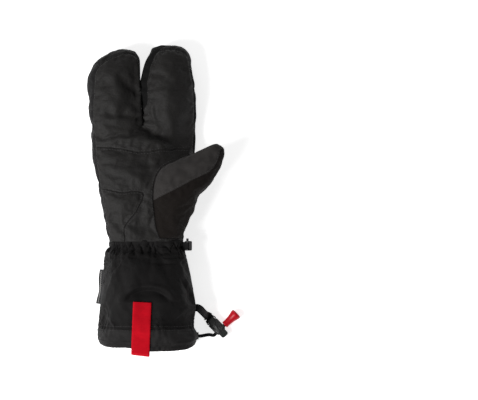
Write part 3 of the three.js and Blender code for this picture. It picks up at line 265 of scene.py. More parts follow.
class MittSizes(bpy.types.PropertyGroup):
    """Sizes of the mitt in millimetres."""

    hand_length: size_setting("Hand length", "Wrist line to the longest tip", 222)
    hand_width: size_setting("Hand width", "Across the palm under the fingers", 118)
    hand_thickness: size_setting("Hand thickness", "Back to palm", 46)
    finger_thickness: size_setting("Finger thickness", "Of one compartment", 41)
    thumb_top: size_setting("Thumb height", "Surface to the thumb's top", 59)
    gauntlet_length: size_setting("Gauntlet length", "Wrist line to hem", 112)
    cuff_width: size_setting("Cuff width", "Across the hem", 109)
    cuff_thickness: size_setting("Cuff height", "Height of the open hem", 60)
    wrist_width: size_setting("Wrist width", "Across the elastic", 80)
    wrist_thickness: size_setting("Wrist height", "Height at the elastic", 38)
    wall: size_setting("Panel thickness", "Shell and insulation", 2.6)
    hem_height: size_setting("Hem height", "Depth of the turned hem", 24)
    pleats: IntProperty(name="Gathers", description="Pleats round the wrist", default=30, min=8)


class MittColours(bpy.types.PropertyGroup):
    """Base colours, linear."""

    leather: colour_setting("Palm leather", "Synthetic leather", (0.0148, 0.0139, 0.0134))
    suede: colour_setting("Thumb suede", "Napped thumb front", (0.0318, 0.0294, 0.0284))
    gusset: colour_setting("Gusset cloth", "Thumb's lower half", (0.0062, 0.0042, 0.0032))
    shell: colour_setting("Back cloth", "Woven back", (0.0095, 0.009, 0.0092))
    gauntlet: colour_setting("Gauntlet cloth", "Coated woven cloth", (0.0091, 0.0085, 0.0085))
    ribbon: colour_setting("Red ribbon", "Pull tab", (0.56, 0.002, 0.012))
    rubber: colour_setting("Red cord end", "Moulded handle", (0.48, 0.003, 0.012))
    plastic: colour_setting("Black plastic", "Lock and clip", (0.015, 0.015, 0.015))
    floor: colour_setting("Floor", "Plain pale floor", (0.93, 0.93, 0.93))


def sizes():
    return bpy.context.scene.mitt_sizes


def colours():
    return bpy.context.scene.mitt_colours


# Tables and curves


def sample(rows, at):
    """A smooth curve through every column of a table, at the values of its first column."""
    table = np.array(rows, float)
    table = table[np.argsort(table[:, 0])]
    knots = table[:, 0]
    at = np.atleast_1d(np.asarray(at, float))
    last = len(knots) - 1
    i = np.clip(np.searchsorted(knots, at, side="right") - 1, 0, last - 1)
    before, after = np.maximum(i - 1, 0), np.minimum(i + 2, last)
    span = knots[i + 1] - knots[i]
    t = np.clip((at - knots[i]) / span, 0, 1)[:, None]
    slope_a = (table[i + 1] - table[before]) / (knots[i + 1] - knots[before])[:, None] * span[:, None]
    slope_b = (table[after] - table[i]) / (knots[after] - knots[i])[:, None] * span[:, None]
    t2, t3 = t * t, t * t * t
    mixed = (2 * t3 - 3 * t2 + 1) * table[i] + (t3 - 2 * t2 + t) * slope_a
    mixed += (3 * t2 - 2 * t3) * table[i + 1] + (t3 - t2) * slope_b
    mixed[:, 0] = at
    return mixed


def eased(share, reach=1.0):
    """A share from 0 to 1 with a soft start and end, times a reach."""
    return reach * share * share * (3 - 2 * share)


def in_mm(rows, length, width, thickness):
    """A table of sections, its shares turned into millimetres."""
    return [
        (row.at * length, row.left * width, row.right * width, row.low * thickness, row.high * thickness)
        for row in rows
    ]


def hand_table(rows, thickness):
    return in_mm(rows, sizes().hand_length, sizes().hand_width, thickness)


def body_table():
    """Gauntlet, wrist and hand as one table in millimetres along the mitt."""
    s = sizes()
    gauntlet = in_mm(GAUNTLET, -s.gauntlet_length, s.cuff_width, s.cuff_thickness)
    middle, half = 0.04 * s.hand_width, s.wrist_width / 2
    wrist = [(0.0, middle - half, middle + half, WRIST_LIFT, WRIST_LIFT + s.wrist_thickness)]
    return gauntlet + wrist + hand_table(HAND, s.hand_thickness)


def on_hand(points):
    return np.array(points, float) * (sizes().hand_width, sizes().hand_length)


def from_segments(line, xy):
    """Of each point against each segment of a line: the segments, offsets from their starts, distances."""
    a = line[:-1]
    along = line[1:] - a
    rel = xy[:, None, :] - a[None]
    t = np.clip((rel * along).sum(2) / np.maximum((along * along).sum(1), 1e-9), 0, 1)
    gap = rel - t[..., None] * along
    return along, rel, np.sqrt((gap * gap).sum(2))


def side_of(line, xy):
    """Signed distance of points from an open line that runs left to right: above is positive."""
    along, rel, dist = from_segments(line, xy)
    near = dist.argmin(1)
    pick = np.arange(len(xy))
    cross = along[near, 0] * rel[pick, near, 1] - along[near, 1] * rel[pick, near, 0]
    return np.where(cross >= 0, 1.0, -1.0) * dist[pick, near]


def inside_of(line, xy):
    """Signed distance of points from a closed outline: inside is positive."""
    ring = np.vstack([line, line[:1]])
    a, b = ring[:-1], ring[1:]
    along, _, dist = from_segments(ring, xy)
    dist = dist.min(1)
    up = (a[None, :, 1] > xy[:, None, 1]) != (b[None, :, 1] > xy[:, None, 1])
    rise = np.where(along[:, 1] == 0, 1e-9, along[:, 1])
    cross_x = a[:, 0] + (xy[:, None, 1] - a[:, 1]) * along[:, 0] / rise
    inside = (up & (xy[:, None, 0] < cross_x)).sum(1) % 2 == 1
    return np.where(inside, dist, -dist)


def ripple(points, wave, seed, octaves=3):
    """Smooth irregular relief between about -1 and 1, its longest waves as long as wave (mm, by axis)."""
    rng = np.random.default_rng(seed)
    total = np.zeros(len(points))
    weight = 0.0
    for octave in range(octaves):
        scale = 2.0**octave
        for _ in range(6):
            way = rng.normal(size=3)
            way /= np.linalg.norm(way)
            phase = rng.uniform(0, 2 * math.pi)
            total += np.sin((points / np.asarray(wave) * way * scale * 2 * math.pi).sum(1) + phase) / scale
        weight += 6 / scale
    return total / weight * 2.2


# Meshes from arrays


def rounded_ring(row, count, left_power, right_power):
    """Points of rounded boxes: one ring for each row of (at, left, right, low, high)."""
    angle = 2 * math.pi * np.arange(count) / count
    c, s = np.cos(angle), np.sin(angle)
    power = np.where(c < 0, left_power, right_power)
    cx, cz = (row[:, 1] + row[:, 2]) / 2, (row[:, 3] + row[:, 4]) / 2
    hx = np.maximum((row[:, 2] - row[:, 1]) / 2, 0.4)
    hz = np.maximum((row[:, 4] - row[:, 3]) / 2, 0.4)
    x = cx[:, None] + hx[:, None] * np.sign(c) * np.abs(c) ** (2 / power)
    z = cz[:, None] + hz[:, None] * np.sign(s) * np.abs(s) ** (2 / power)
    y = np.repeat(row[:, :1], count, 1)
    return np.stack([x, y, z], 2)


def grid_faces(rows, count, first=0):
    """Quads between rings of equally many points."""
    r, k = np.meshgrid(np.arange(rows - 1), np.arange(count), indexing="ij")
    l = (k + 1) % count
    quads = np.stack([r * count + k, r * count + l, (r + 1) * count + l, (r + 1) * count + k], 2)
    return (quads.reshape(-1, 4) + first).tolist()


def closed_loft(rings):
    rows, count, _ = rings.shape
    verts = rings.reshape(-1, 3)
    faces = grid_faces(rows, count)
    faces.append(list(range(count))[::-1])
    faces.append(list(range((rows - 1) * count, rows * count)))
    return verts, faces


def raw_mesh(name, verts, faces):
    mesh = bpy.data.meshes.new(name)
    mesh.from_pydata([tuple(v) for v in verts], [], faces)
    mesh.update()
    return mesh


def to_frame(verts):
    moved = np.asarray(verts, float).copy()
    moved[:, 0] += WRIST_X
    moved[:, 1] += WRIST_Y
    return moved * MM


def from_frame(verts):
    """Metres in the frame as millimetres from the wrist line's middle."""
    moved = verts / MM
    moved[:, 0] -= WRIST_X
    moved[:, 1] -= WRIST_Y
    return moved


def in_scene(name, data):
    """A new object for some data, linked to the scene."""
    obj = bpy.data.objects.new(name, data)
    bpy.context.scene.collection.objects.link(obj)
    return obj


def piece(name, verts, faces, material, replaces=(), body="mitt"):
    """A finished mesh object from millimetres, riding on its body and standing for its CAD nodes."""
    obj = in_scene(name, raw_mesh(name, to_frame(verts), faces))
    obj.data.polygons.foreach_set("use_smooth", [True] * len(obj.data.polygons))
    obj.data.materials.append(material)
    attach(obj, body)
    if replaces:
        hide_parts(*replaces)
    return obj


def evaluated(mesh, *modifiers):
    """A mesh after modifiers given as (type, settings)."""
    obj = in_scene("working", mesh)
    for kind, settings in modifiers:
        modifier = obj.modifiers.new(kind.lower(), kind)
        for key, value in settings.items():
            setattr(modifier, key, value)
    graph = bpy.context.evaluated_depsgraph_get()
    made = bpy.data.meshes.new_from_object(obj.evaluated_get(graph))
    bpy.data.objects.remove(obj)
    return made


def arrays(mesh):
    """The vertices and triangles of a mesh."""
    mesh.calc_loop_triangles()
    verts = np.empty(len(mesh.vertices) * 3)
    mesh.vertices.foreach_get("co", verts)
    tris = np.empty(len(mesh.loop_triangles) * 3, np.int64)
    mesh.loop_triangles.foreach_get("vertices", tris)
    return verts.reshape(-1, 3), tris.reshape(-1, 3)


def normals_of(verts, tris):
    a, b, c = verts[tris[:, 0]], verts[tris[:, 1]], verts[tris[:, 2]]
    flat = np.cross(b - a, c - a)
    normals = np.zeros_like(verts)
    for k in range(3):
        np.add.at(normals, tris[:, k], flat)
    return normals / np.maximum(np.linalg.norm(normals, axis=1), 1e-12)[:, None]


def triangle_sides(tris):
    """The three sides of every triangle, as pairs of vertices."""
    return np.vstack([tris[:, [0, 1]], tris[:, [1, 2]], tris[:, [2, 0]]])


def smoothed(verts, tris, times, share=0.5, hold=None):
    """Vertices drawn towards the mean of their neighbours, except as far as hold keeps them."""
    edges = np.unique(np.sort(triangle_sides(tris), axis=1), axis=0)
    count = np.zeros(len(verts))
    np.add.at(count, edges[:, 0], 1)
    np.add.at(count, edges[:, 1], 1)
    move = np.full(len(verts), share) if hold is None else share * (1 - hold)
    verts = verts.copy()
    for _ in range(times):
        total = np.zeros_like(verts)
        np.add.at(total, edges[:, 0], verts[edges[:, 1]])
        np.add.at(total, edges[:, 1], verts[edges[:, 0]])
        verts += (total / np.maximum(count, 1)[:, None] - verts) * move[:, None]
    return verts


def thick_panel(verts, normals, tris, wall):
    """A closed solid from one panel's triangles: its face, its lining side and the rim between them."""
    used, local = np.unique(tris, return_inverse=True)
    local = local.reshape(-1, 3)
    outer = verts[used]
    inner = outer - normals[used] * wall
    n = len(used)
    directed = [(a, b) for a, b in triangle_sides(local).tolist()]
    known = set(directed)
    rim = [(a, b) for a, b in directed if (b, a) not in known]
    faces = local.tolist() + (local[:, ::-1] + n).tolist()
    faces += [(b, a, a + n, b + n) for a, b in rim]
    return np.vstack([outer, inner]), faces


# Hand and thumb: one padded skin, then its seams, then its panels


def finger_rings(rows, count, left_power, right_power):
    """A finger compartment whose height rounds off towards its tip."""
    tip_depth = 26.0
    tip = rows[-1][0]
    share = np.linspace(0, 1, 54)
    at = rows[0][0] + (tip - rows[0][0]) * (1 - (1 - share) ** 1.35)
    row = sample(rows, at)
    into = np.clip((at - (tip - tip_depth)) / tip_depth, 0, 0.995)
    round_off = np.sqrt(1 - into**2.4)
    middle = (row[:, 3] + row[:, 4]) / 2
    half = (row[:, 4] - row[:, 3]) / 2 * round_off
    row[:, 3], row[:, 4] = middle - half, middle + half
    return rounded_ring(row, count, left_power, right_power)


def thumb_rings(count):
    s = sizes()
    row = sample(THUMB, np.linspace(0, 10, 48))
    left = row[:, 1:3] * (s.hand_width, s.hand_length)
    right = row[:, 3:5] * (s.hand_width, s.hand_length)
    centre, across = (left + right) / 2, (right - left) / 2
    low, high = row[:, 5] * s.thumb_top, row[:, 6] * s.thumb_top
    angle = 2 * math.pi * np.arange(count) / count
    c = np.sign(np.cos(angle)) * np.abs(np.cos(angle)) ** 0.85
    e = np.sign(np.sin(angle)) * np.abs(np.sin(angle)) ** 0.85
    plan = centre[:, None] + across[:, None] * c[None, :, None]
    z = ((low + high) / 2)[:, None] + ((high - low) / 2)[:, None] * e
    return np.concatenate([plan, z[..., None]], 2)


def crotch_y():
    """Where the slit between the two finger compartments ends."""
    return sizes().hand_length - FINGER_LENGTH


def hand_lofts():
    """The four closed forms that the skin is fused from: palm, two finger compartments, thumb."""
    s = sizes()
    rows = sample(body_table(), np.linspace(-9, crotch_y() + 3, 80))
    sink = np.clip((rows[:, 0] - crotch_y() + 19) / 22, 0, 1)
    rows[:, 4] -= eased(sink, 13)
    palm = rounded_ring(rows, 96, 2.7, 2.2)
    ring = finger_rings(hand_table(RING_FINGER, s.finger_thickness), 72, 2.4, 3.6)
    index = finger_rings(hand_table(INDEX_FINGER, s.finger_thickness), 72, 2.1, 1.9)
    return {"palm": palm, "ring": ring, "index": index, "thumb": thumb_rings(64)}


def slit_line(y):
    """The slit's middle between the two finger compartments."""
    y = np.clip(y, crotch_y() - 20, 0.97 * sizes().hand_length)
    return (sample(hand_table(RING_FINGER, 1), y)[:, 2] + sample(hand_table(INDEX_FINGER, 1), y)[:, 1]) / 2


def held_apart(y):
    """How far each finger is held from the slit at places along the hand, in mm."""
    return eased(np.clip((y - crotch_y() + 6) / 18, 0, 1), FINGER_GAP)


def spread_fingers(lofts):
    """The lofts with the two fingers held apart, so that fusing can't join them."""
    out = dict(lofts)
    for name, way in (("ring", -1), ("index", 1)):
        out[name] = lofts[name].copy()
        out[name][..., 0] += way * held_apart(lofts[name][..., 1])
    return out


def let_back(verts):
    """Vertices of the fused skin with the two fingers let back against each other."""
    out = verts.copy()
    out[:, 0] -= np.sign(verts[:, 0] - slit_line(verts[:, 1])) * held_apart(verts[:, 1])
    return out


def closed_slit(verts, normals, side):
    """Both finger sides brought to the slit's edges; side is -1 on the ring compartment, else 1."""
    s = sizes()
    out = verts.copy()
    at = verts[:, 1]
    edges = sample(SLIT_EDGES, at / s.hand_length)[:, 1:] * s.hand_width
    fade = np.clip((at - crotch_y() + 5) / 5, 0, 1) * np.clip((0.985 * s.hand_length - at) / 12, 0, 1)
    centres = np.arange(crotch_y() - 4, s.hand_length - 3, 1.2)
    for way, wanted in ((-1, edges[:, 0] + 0.1), (1, edges[:, 1] - 0.1)):
        wall = (side == way) & (np.abs(verts[:, 0] - wanted) < 12) & (normals[:, 0] * -way > 0.5)
        wall &= verts[:, 2] > 5
        reach = []
        for centre in centres:
            row = wall & (np.abs(at - centre) < 1.2)
            reach.append((verts[row, 0] * -way).max() * -way if row.any() else np.nan)
        known = ~np.isnan(reach)
        reach = np.interp(centres, centres[known], np.array(reach)[known])
        now = np.interp(at, centres, np.convolve(np.pad(reach, 1, "edge"), (0.25, 0.5, 0.25), "valid"))
        share = np.exp(-(((verts[:, 0] - now) / 13.0) ** 2)) * fade * (side == way)
        out[:, 0] += (wanted - now) * share
        facing = np.clip((normals[:, 0] * -way - 0.35) / 0.35, 0, 1) * fade * (side == way)
        facing *= np.clip((6 - np.abs(out[:, 0] - wanted)) / 3, 0, 1)
        out[:, 0] += (wanted - out[:, 0]) * facing
    return out


def fused_skin(lofts, voxel, passes):
    """One closed skin round all lofts, in millimetres, flat where it rests."""
    verts, faces, first = [], [], 0
    for rings in lofts.values():
        v, f = closed_loft(rings)
        verts.append(v)
        faces += [[i + first for i in face] for face in f]
        first += len(v)
    mesh = raw_mesh("fused", np.vstack(verts), faces)
    made = evaluated(mesh, ("REMESH", {"mode": "VOXEL", "voxel_size": voxel}))
    skin, tris = arrays(made)
    skin = smoothed(skin, tris, passes)
    away = np.exp(-(((skin[:, 1] - crotch_y() + 9) / 14) ** 2) - ((skin[:, 0] - 13) / 30) ** 2)
    skin = smoothed(skin, tris, round(40 / voxel**2), 0.5, 1 - away)
    skin[:, 2] = settle(skin[:, 2])
    return skin, tris


def simulated(name, start, faces, weights, settings, frames, limit):
    """Moves (mm) of a cloth that is blown up a little; weights and settings go by the cloth's own names."""
    obj = in_scene(name, raw_mesh(name, start * MM, faces))
    modifier = obj.modifiers.new(name, "CLOTH")
    cloth = modifier.settings
    for key, values in weights.items():
        group = obj.vertex_groups.new(name=key)
        for i, weight in enumerate(values.tolist()):
            group.add([i], weight, "REPLACE")
        setattr(cloth, key, key)
    for key, value in settings.items():
        setattr(cloth, key, value)
    cloth.use_pressure = True
    cloth.effector_weights.gravity = 0
    modifier.collision_settings.use_collision = False
    modifier.point_cache.frame_start = 1
    modifier.point_cache.frame_end = frames
    scene = bpy.context.scene
    for number in range(1, frames + 1):
        scene.frame_set(number)
    ended = obj.evaluated_get(bpy.context.evaluated_depsgraph_get()).to_mesh()
    moved = np.empty(len(start) * 3)
    ended.vertices.foreach_get("co", moved)
    scene.frame_set(1)
    bpy.data.objects.remove(obj)
    move = moved.reshape(-1, 3) / MM - start
    reach = np.linalg.norm(move, axis=1)
    return move * (np.minimum(reach, limit) / np.maximum(reach, 1e-6))[:, None]


def swelling(lofts, held):
    """How the padding pushes the cloth out between its seams: places on a coarse skin, and their moves."""
    start, tris = fused_skin(lofts, 3.0, 2)
    hold = np.clip(1.25 - distance_to(start, held) / 5.0, 0, 1)
    hold = np.maximum(hold, np.clip(1.4 - start[:, 2] / 3.0, 0, 1))
    hold = np.maximum(hold, np.clip((16.0 - start[:, 1]) / 6.0, 0, 1))
    settings = {
        "quality": 6, "mass": 0.3, "tension_stiffness": 18, "compression_stiffness": 18,
        "shear_stiffness": 6, "bending_stiffness": 1.2, "uniform_pressure_force": 3.0,
        "shrink_min": -0.03, "shrink_max": -0.03,
    }
    weights = {"vertex_group_mass": hold}
    return start, tris, simulated("swelling", start, tris.tolist(), weights, settings, 20, 5.0)


def carried(verts, start, tris, move):
    """Moves of a coarse skin, read off at the vertices of a fine one."""
    tree = BVHTree.FromPolygons([tuple(p) for p in start], tris.tolist())
    out = np.zeros_like(verts)
    for i, p in enumerate(verts):
        place, _, index, _ = tree.find_nearest(Vector(p))
        corners = tris[index]
        weight = 1 / (np.linalg.norm(start[corners] - np.array(place), axis=1) + 0.05)
        out[i] = (move[corners] * weight[:, None]).sum(0) / weight.sum()
    return out


def settle(z, softness=2.2):
    """Heights pressed flat at the surface, with a soft edge round the flat."""
    return softness * np.logaddexp(0, z / softness)


def nearest_gap(verts, rings):
    """Distance of every vertex from one loft's surface."""
    v, f = closed_loft(rings)
    tree = BVHTree.FromPolygons([tuple(p) for p in v], f)
    return np.array([tree.find_nearest(Vector(p))[3] for p in verts])


def palm_inset(xy, ring_outline, index_outline, body_outline):
    """How far inside the palm panel's seam each point lies, in plan."""
    inset = sample(PALM_INSETS, np.clip(xy[:, 1] / sizes().hand_length, 0, 1))
    at = np.clip(xy[:, 1], crotch_y(), None)
    left, right = sample(hand_table(RING_FINGER, 1), at)[:, 2], sample(hand_table(INDEX_FINGER, 1), at)[:, 1]
    middle = 0.5 * (left + right)

    def inner(outline, left, right):
        along, _, dist = from_segments(np.vstack([outline, outline[:1]]), xy)
        near = dist.argmin(1)
        facing = along[near] / np.maximum(np.linalg.norm(along[near], axis=1), 1e-9)[:, None]
        to_left = np.clip(facing[:, 1], 0, 1)
        to_right = np.clip(-facing[:, 1], 0, 1)
        to_top = 1 - to_left - to_right
        return inside_of(outline, xy) - (left * to_left + right * to_right + TIP_INSET * to_top)

    body = inner(body_outline, inset[:, 1], inset[:, 4])
    ring = inner(ring_outline, inset[:, 1], inset[:, 2])
    index = inner(index_outline, inset[:, 3], inset[:, 4])
    fingers = np.where(xy[:, 0] < middle, ring, index)
    both = np.maximum(fingers, np.where(xy[:, 1] < crotch_y() - 4, body, -50))
    return np.where(xy[:, 1] > crotch_y() - 12.0, both, body)


def plan_outline(table, start, end, count=60):
    rows = sample(table, np.linspace(start, end, count))
    left = np.column_stack([rows[:, 1], rows[:, 0]])
    right = np.column_stack([rows[:, 2], rows[:, 0]])
    return np.vstack([left, right[::-1]])


def panel_rules(lofts):
    """Each seam's name, with a function of vertices that changes sign across it."""
    s = sizes()
    ring_table = hand_table(RING_FINGER, s.finger_thickness)
    index_table = hand_table(INDEX_FINGER, s.finger_thickness)
    far_down, tip = -60.0, s.hand_length
    outlines = (
        plan_outline(ring_table, crotch_y() - 30, 0.979 * tip),
        plan_outline(index_table, crotch_y() - 30, tip),
        plan_outline(body_table(), far_down, crotch_y() + 20),
    )
    table = body_table()

    def mid_height(v):
        rows = sample(table, np.clip(v[:, 1], far_down, crotch_y()))
        return (rows[:, 3] + rows[:, 4]) / 2

    def palm(v):
        over = v[:, 2] - np.where(v[:, 1] > crotch_y(), FINGER_SEAM_HEIGHT, mid_height(v))
        return np.minimum(palm_inset(v[:, :2], *outlines), over)

    def thumb(v):
        others = np.minimum(nearest_gap(v, lofts["palm"]), nearest_gap(v, lofts["index"]))
        return others - nearest_gap(v, lofts["thumb"])

    def cap(line):
        return lambda v: side_of(on_hand(line), v[:, :2])

    def side_strip(v):
        rows = sample(index_table, np.clip(v[:, 1], crotch_y(), tip))
        low = sample(table, np.clip(v[:, 1], 0, crotch_y()))
        edge = np.where(v[:, 1] > crotch_y(), rows[:, 2], low[:, 2])
        inset = np.interp(v[:, 1], (76, 100, tip), (4.5, 6.0, 9.5))
        return np.minimum(v[:, 0] - (edge - inset), v[:, 1] - 72.0)

    def slit_strip(v):
        at = np.clip(v[:, 1], crotch_y() - 8, tip)
        left = sample(ring_table, at)[:, 2] - 1.6
        right = sample(index_table, at)[:, 1] + np.where(v[:, 2] > FINGER_SEAM_HEIGHT, 9.0, 2.6)
        across = np.minimum(v[:, 0] - left, right - v[:, 0])
        return np.minimum(across, v[:, 1] - (crotch_y() - 5))

    return {
        "thumb": thumb,
        "palm": palm,
        "index_cap": cap(INDEX_CAP),
        "ring_cap": cap(RING_CAP),
        "side_strip": side_strip,
        "slit_strip": slit_strip,
        "palm_arc": lambda v: side_of(on_hand(PALM_ARC), v[:, :2]),
        "heel": lambda v: inside_of(on_hand(HEEL_EDGE), v[:, :2]),
        "thumb_seam": lambda v: side_of(on_hand(THUMB_SEAM), v[:, :2]),
    }


# Which seam splits which panel: panel to split, seam, panel on the positive side, panel on the other
Split = namedtuple("Split", "panel seam inside outside")
SPLITS = (
    Split("skin", "thumb", "thumb", "hand"),
    Split("hand", "palm", "palm", "shell"),
    Split("thumb", "thumb_seam", "thumb_front", "thumb_gusset"),
    Split("palm", "palm_arc", "palm_fingers", "palm_lower"),
    Split("palm_lower", "heel", "palm_heel", "palm_middle"),
    Split("shell", "slit_strip", "finger_slit_strip", "shell_a"),
    Split("shell_a", "side_strip", "index_side", "shell_b"),
    Split("index_side", "index_cap", "index_tip_a", "index_side_strip"),
    Split("shell_b", "index_cap", "index_tip_b", "shell_c"),
    Split("shell_c", "ring_cap", "ring_tip_cap", "back_panel"),
)
JOINED = {"index_tip_a": "index_tip_cap", "index_tip_b": "index_tip_cap"}

# Panels with a row of stitches beside their seams, and how far inside the seam the rows run (mm)
TOPSTITCHED = ("palm_fingers", "palm_middle", "palm_heel", "thumb_front", "index_tip_cap", "ring_tip_cap")
SEWING_ROW = 1.7
SECOND_ROW = 4.6


def cut_panels(skin, tris, rules):
    """Triangles of each panel over one shared set of vertices."""
    panels = {"skin": tris}
    verts = skin
    for split in SPLITS:
        source = panels.pop(split.panel)
        value = rules[split.seam](let_back(verts))
        if split.seam == "index_cap":
            value = np.minimum(value, verts[:, 0] + 2.0)
        if split.seam == "ring_cap":
            value = np.minimum(value, 2.0 - verts[:, 0])
        active = np.zeros(len(verts), bool)
        active[source] = True
        verts, panels = cut_one(verts, source, panels, np.where(active, value, 1.0), split)
    for old, new in JOINED.items():
        if old in panels:
            panels[new] = np.vstack([panels[new], panels.pop(old)]) if new in panels else panels.pop(old)
    return verts, panels


def cut_one(verts, source, others, value, split):
    """Cuts one panel by one seam; its neighbours gain the new vertices on the edges that they share."""
    count = len(verts)
    value = np.where(np.abs(value) < 0.06, 0.0, value)
    sign = np.sign(value)
    edges = np.sort(triangle_sides(source), axis=1)
    crossing = np.unique(edges[sign[edges[:, 0]] * sign[edges[:, 1]] < 0], axis=0)
    share = (value[crossing[:, 0]] / (value[crossing[:, 0]] - value[crossing[:, 1]]))[:, None]
    extra = verts[crossing[:, 0]] * (1 - share) + verts[crossing[:, 1]] * share
    new_at = {(a, b): count + i for i, (a, b) in enumerate(crossing.tolist())}
    panels = {}
    made = {split.inside: [], split.outside: []}
    for tri in source.tolist():
        ring = with_new_points(tri, new_at)
        if len(ring) == 3:
            total = sign[tri[0]] + sign[tri[1]] + sign[tri[2]]
            made[split.inside if total > 0 else split.outside].append(tri)
            continue
        for name, keep in ((split.inside, 1), (split.outside, -1)):
            part = [v for v in ring if v >= count or sign[v] * keep >= 0]
            made[name] += fan(part)
    for name, found in made.items():
        if found:
            panels[name] = np.array(found)
    for name, tris in others.items():
        found = []
        for tri in tris.tolist():
            found += triangulated(with_new_points(tri, new_at), count)
        panels[name] = np.array(found)
    return np.vstack([verts, extra]), panels


def with_new_points(tri, new_at):
    """A triangle's corners in order, with the new points on its edges; it starts beside one of them."""
    ring = []
    for k in range(3):
        a, b = tri[k], tri[(k + 1) % 3]
        ring.append(a)
        middle = new_at.get((a, b) if a < b else (b, a))
        if middle is not None:
            ring.append(middle)
    if len(ring) == 4:
        new = next(i for i, v in enumerate(ring) if v not in tri)
        ring = ring[new:] + ring[:new]
    return ring


def fan(ring):
    """Triangles between a ring's first corner and its other sides."""
    return [(ring[0], ring[k], ring[k + 1]) for k in range(1, len(ring) - 1)]


def triangulated(ring, count):
    """Triangles of a ring, none of them flat: one of five corners starts at the right new point."""
    if len(ring) < 5:
        return fan(ring)
    first = next(i for i in range(5) if ring[i] >= count and ring[(i + 2) % 5] >= count)
    return fan(ring[first:] + ring[:first])


def seam_lines(panels):
    """Pairs of vertices on the edges where two panels meet."""
    owner = {}
    for name, tris in panels.items():
        for tri in tris.tolist():
            for k in range(3):
                edge = (min(tri[k], tri[(k + 1) % 3]), max(tri[k], tri[(k + 1) % 3]))
                owner.setdefault(edge, set()).add(name)
    return {edge: names for edge, names in owner.items() if len(names) > 1}


def search_tree(points):
    """A tree that finds the nearest of some points."""
    tree = KDTree(len(points))
    for i, place in enumerate(points):
        tree.insert(place, i)
    tree.balance()
    return tree


def distance_to(points, targets):
    tree = search_tree(targets)
    return np.array([tree.find(p)[2] for p in points])


def folded(verts, normals, folds, scale):
    """Depth of soft hollows and folds, pressed in from the palm or the back."""
    push = np.zeros(len(verts))
    for fold in folds:
        turn = math.radians(fold.turn)
        dx = verts[:, 0] - fold.x * scale[0]
        dy = verts[:, 1] - fold.y * scale[1]
        along = (dx * math.cos(turn) + dy * math.sin(turn)) / fold.length
        across = (dy * math.cos(turn) - dx * math.sin(turn)) / fold.width
        facing = np.clip(normals[:, 2] * fold.side * 1.9 - 0.6, 0, 1)
        push += fold.depth * facing * np.exp(-(along**2) * 1.6 - across**2)
    return push


def iso_runs(verts, tris, value, level):
    """Polylines where value crosses level, each an array of points."""
    over = value > level
    mixed = tris[(over[tris].sum(1) > 0) & (over[tris].sum(1) < 3)]
    links = {}
    places = {}
    for tri in mixed.tolist():
        ends = []
        for k in range(3):
            a, b = sorted((tri[k], tri[(k + 1) % 3]))
            if over[a] != over[b]:
                share = (level - value[a]) / (value[b] - value[a])
                places[a, b] = verts[a] * (1 - share) + verts[b] * share
                ends.append((a, b))
        links.setdefault(ends[0], []).append(ends[1])
        links.setdefault(ends[1], []).append(ends[0])
    runs = []
    left = set(links)
    starts = [e for e, near in links.items() if len(near) == 1] + list(links)
    for first in starts:
        if first not in left:
            continue
        run = [first]
        left.discard(first)
        while True:
            ahead = [e for e in links[run[-1]] if e in left]
            if not ahead:
                break
            run.append(ahead[0])
            left.discard(ahead[0])
        if len(run) > 6:
            runs.append(np.array([places[e] for e in run]))
    return runs


def stitches(runs, normals_at, pitch=3.1, length=2.3, radius=0.19):
    """Short threads laid along sewing lines, all in one mesh."""
    verts, faces = [], []
    for run in runs:
        steps = np.linalg.norm(np.diff(run, axis=0), axis=1)
        reach = np.concatenate([[0], np.cumsum(steps)])
        for _ in range(3):
            run[1:-1] = (run[:-2] + run[1:-1] + run[2:]) / 3
        for at in np.arange(pitch / 2, reach[-1] - pitch / 2, pitch):
            share = np.linspace(at - length / 2, at + length / 2, 5)
            line = np.column_stack([np.interp(share, reach, run[:, k]) for k in range(3)])
            up = normals_at(line[2])
            lift = radius * np.array([-0.9, 0.5, 0.8, 0.5, -0.9])
            line = line + up * lift[:, None]
            along = line[-1] - line[0]
            along /= max(np.linalg.norm(along), 1e-6)
            side = np.cross(along, up)
            first = len(verts)
            for p, thick in zip(line, (0.5, 1, 1, 1, 0.5)):
                for k in range(5):
                    angle = 2 * math.pi * k / 5
                    verts.append(p + radius * thick * (side * math.cos(angle) + up * math.sin(angle)))
            for ring in range(4):
                for k in range(5):
                    a, b = first + ring * 5 + k, first + ring * 5 + (k + 1) % 5
                    faces.append((a, b, b + 5, a + 5))
            faces.append(tuple(range(first, first + 5))[::-1])
            faces.append(tuple(range(first + 20, first + 25)))
    return np.array(verts), faces


# Share of their height that the panels lose in the hollow between index finger and thumb
HOLLOW_DEPTH = 0.34


def hollow(verts, panels):
    """Share of the hollow that sinks between the index finger and the thumb, from 0 to 1."""
    s = sizes()
    thumb = np.unique(np.vstack([panels["thumb_front"], panels["thumb_gusset"]]))
    clear = 1 - np.exp(-((distance_to(verts, verts[thumb]) / 6.0) ** 2))
    across = (verts[:, 0] - 0.5 * s.hand_width) / 22
    along = (verts[:, 1] - 0.53 * s.hand_length) / 30
    return clear * np.exp(-(across**2) - along**2)


def by_thumb(verts):
    """How near to the hollow between thumb and index finger each vertex lies, from 0 to 1."""
    return np.exp(-(((verts[:, 0] - 45) / 25) ** 4) - ((verts[:, 1] - 115) / 30) ** 4)


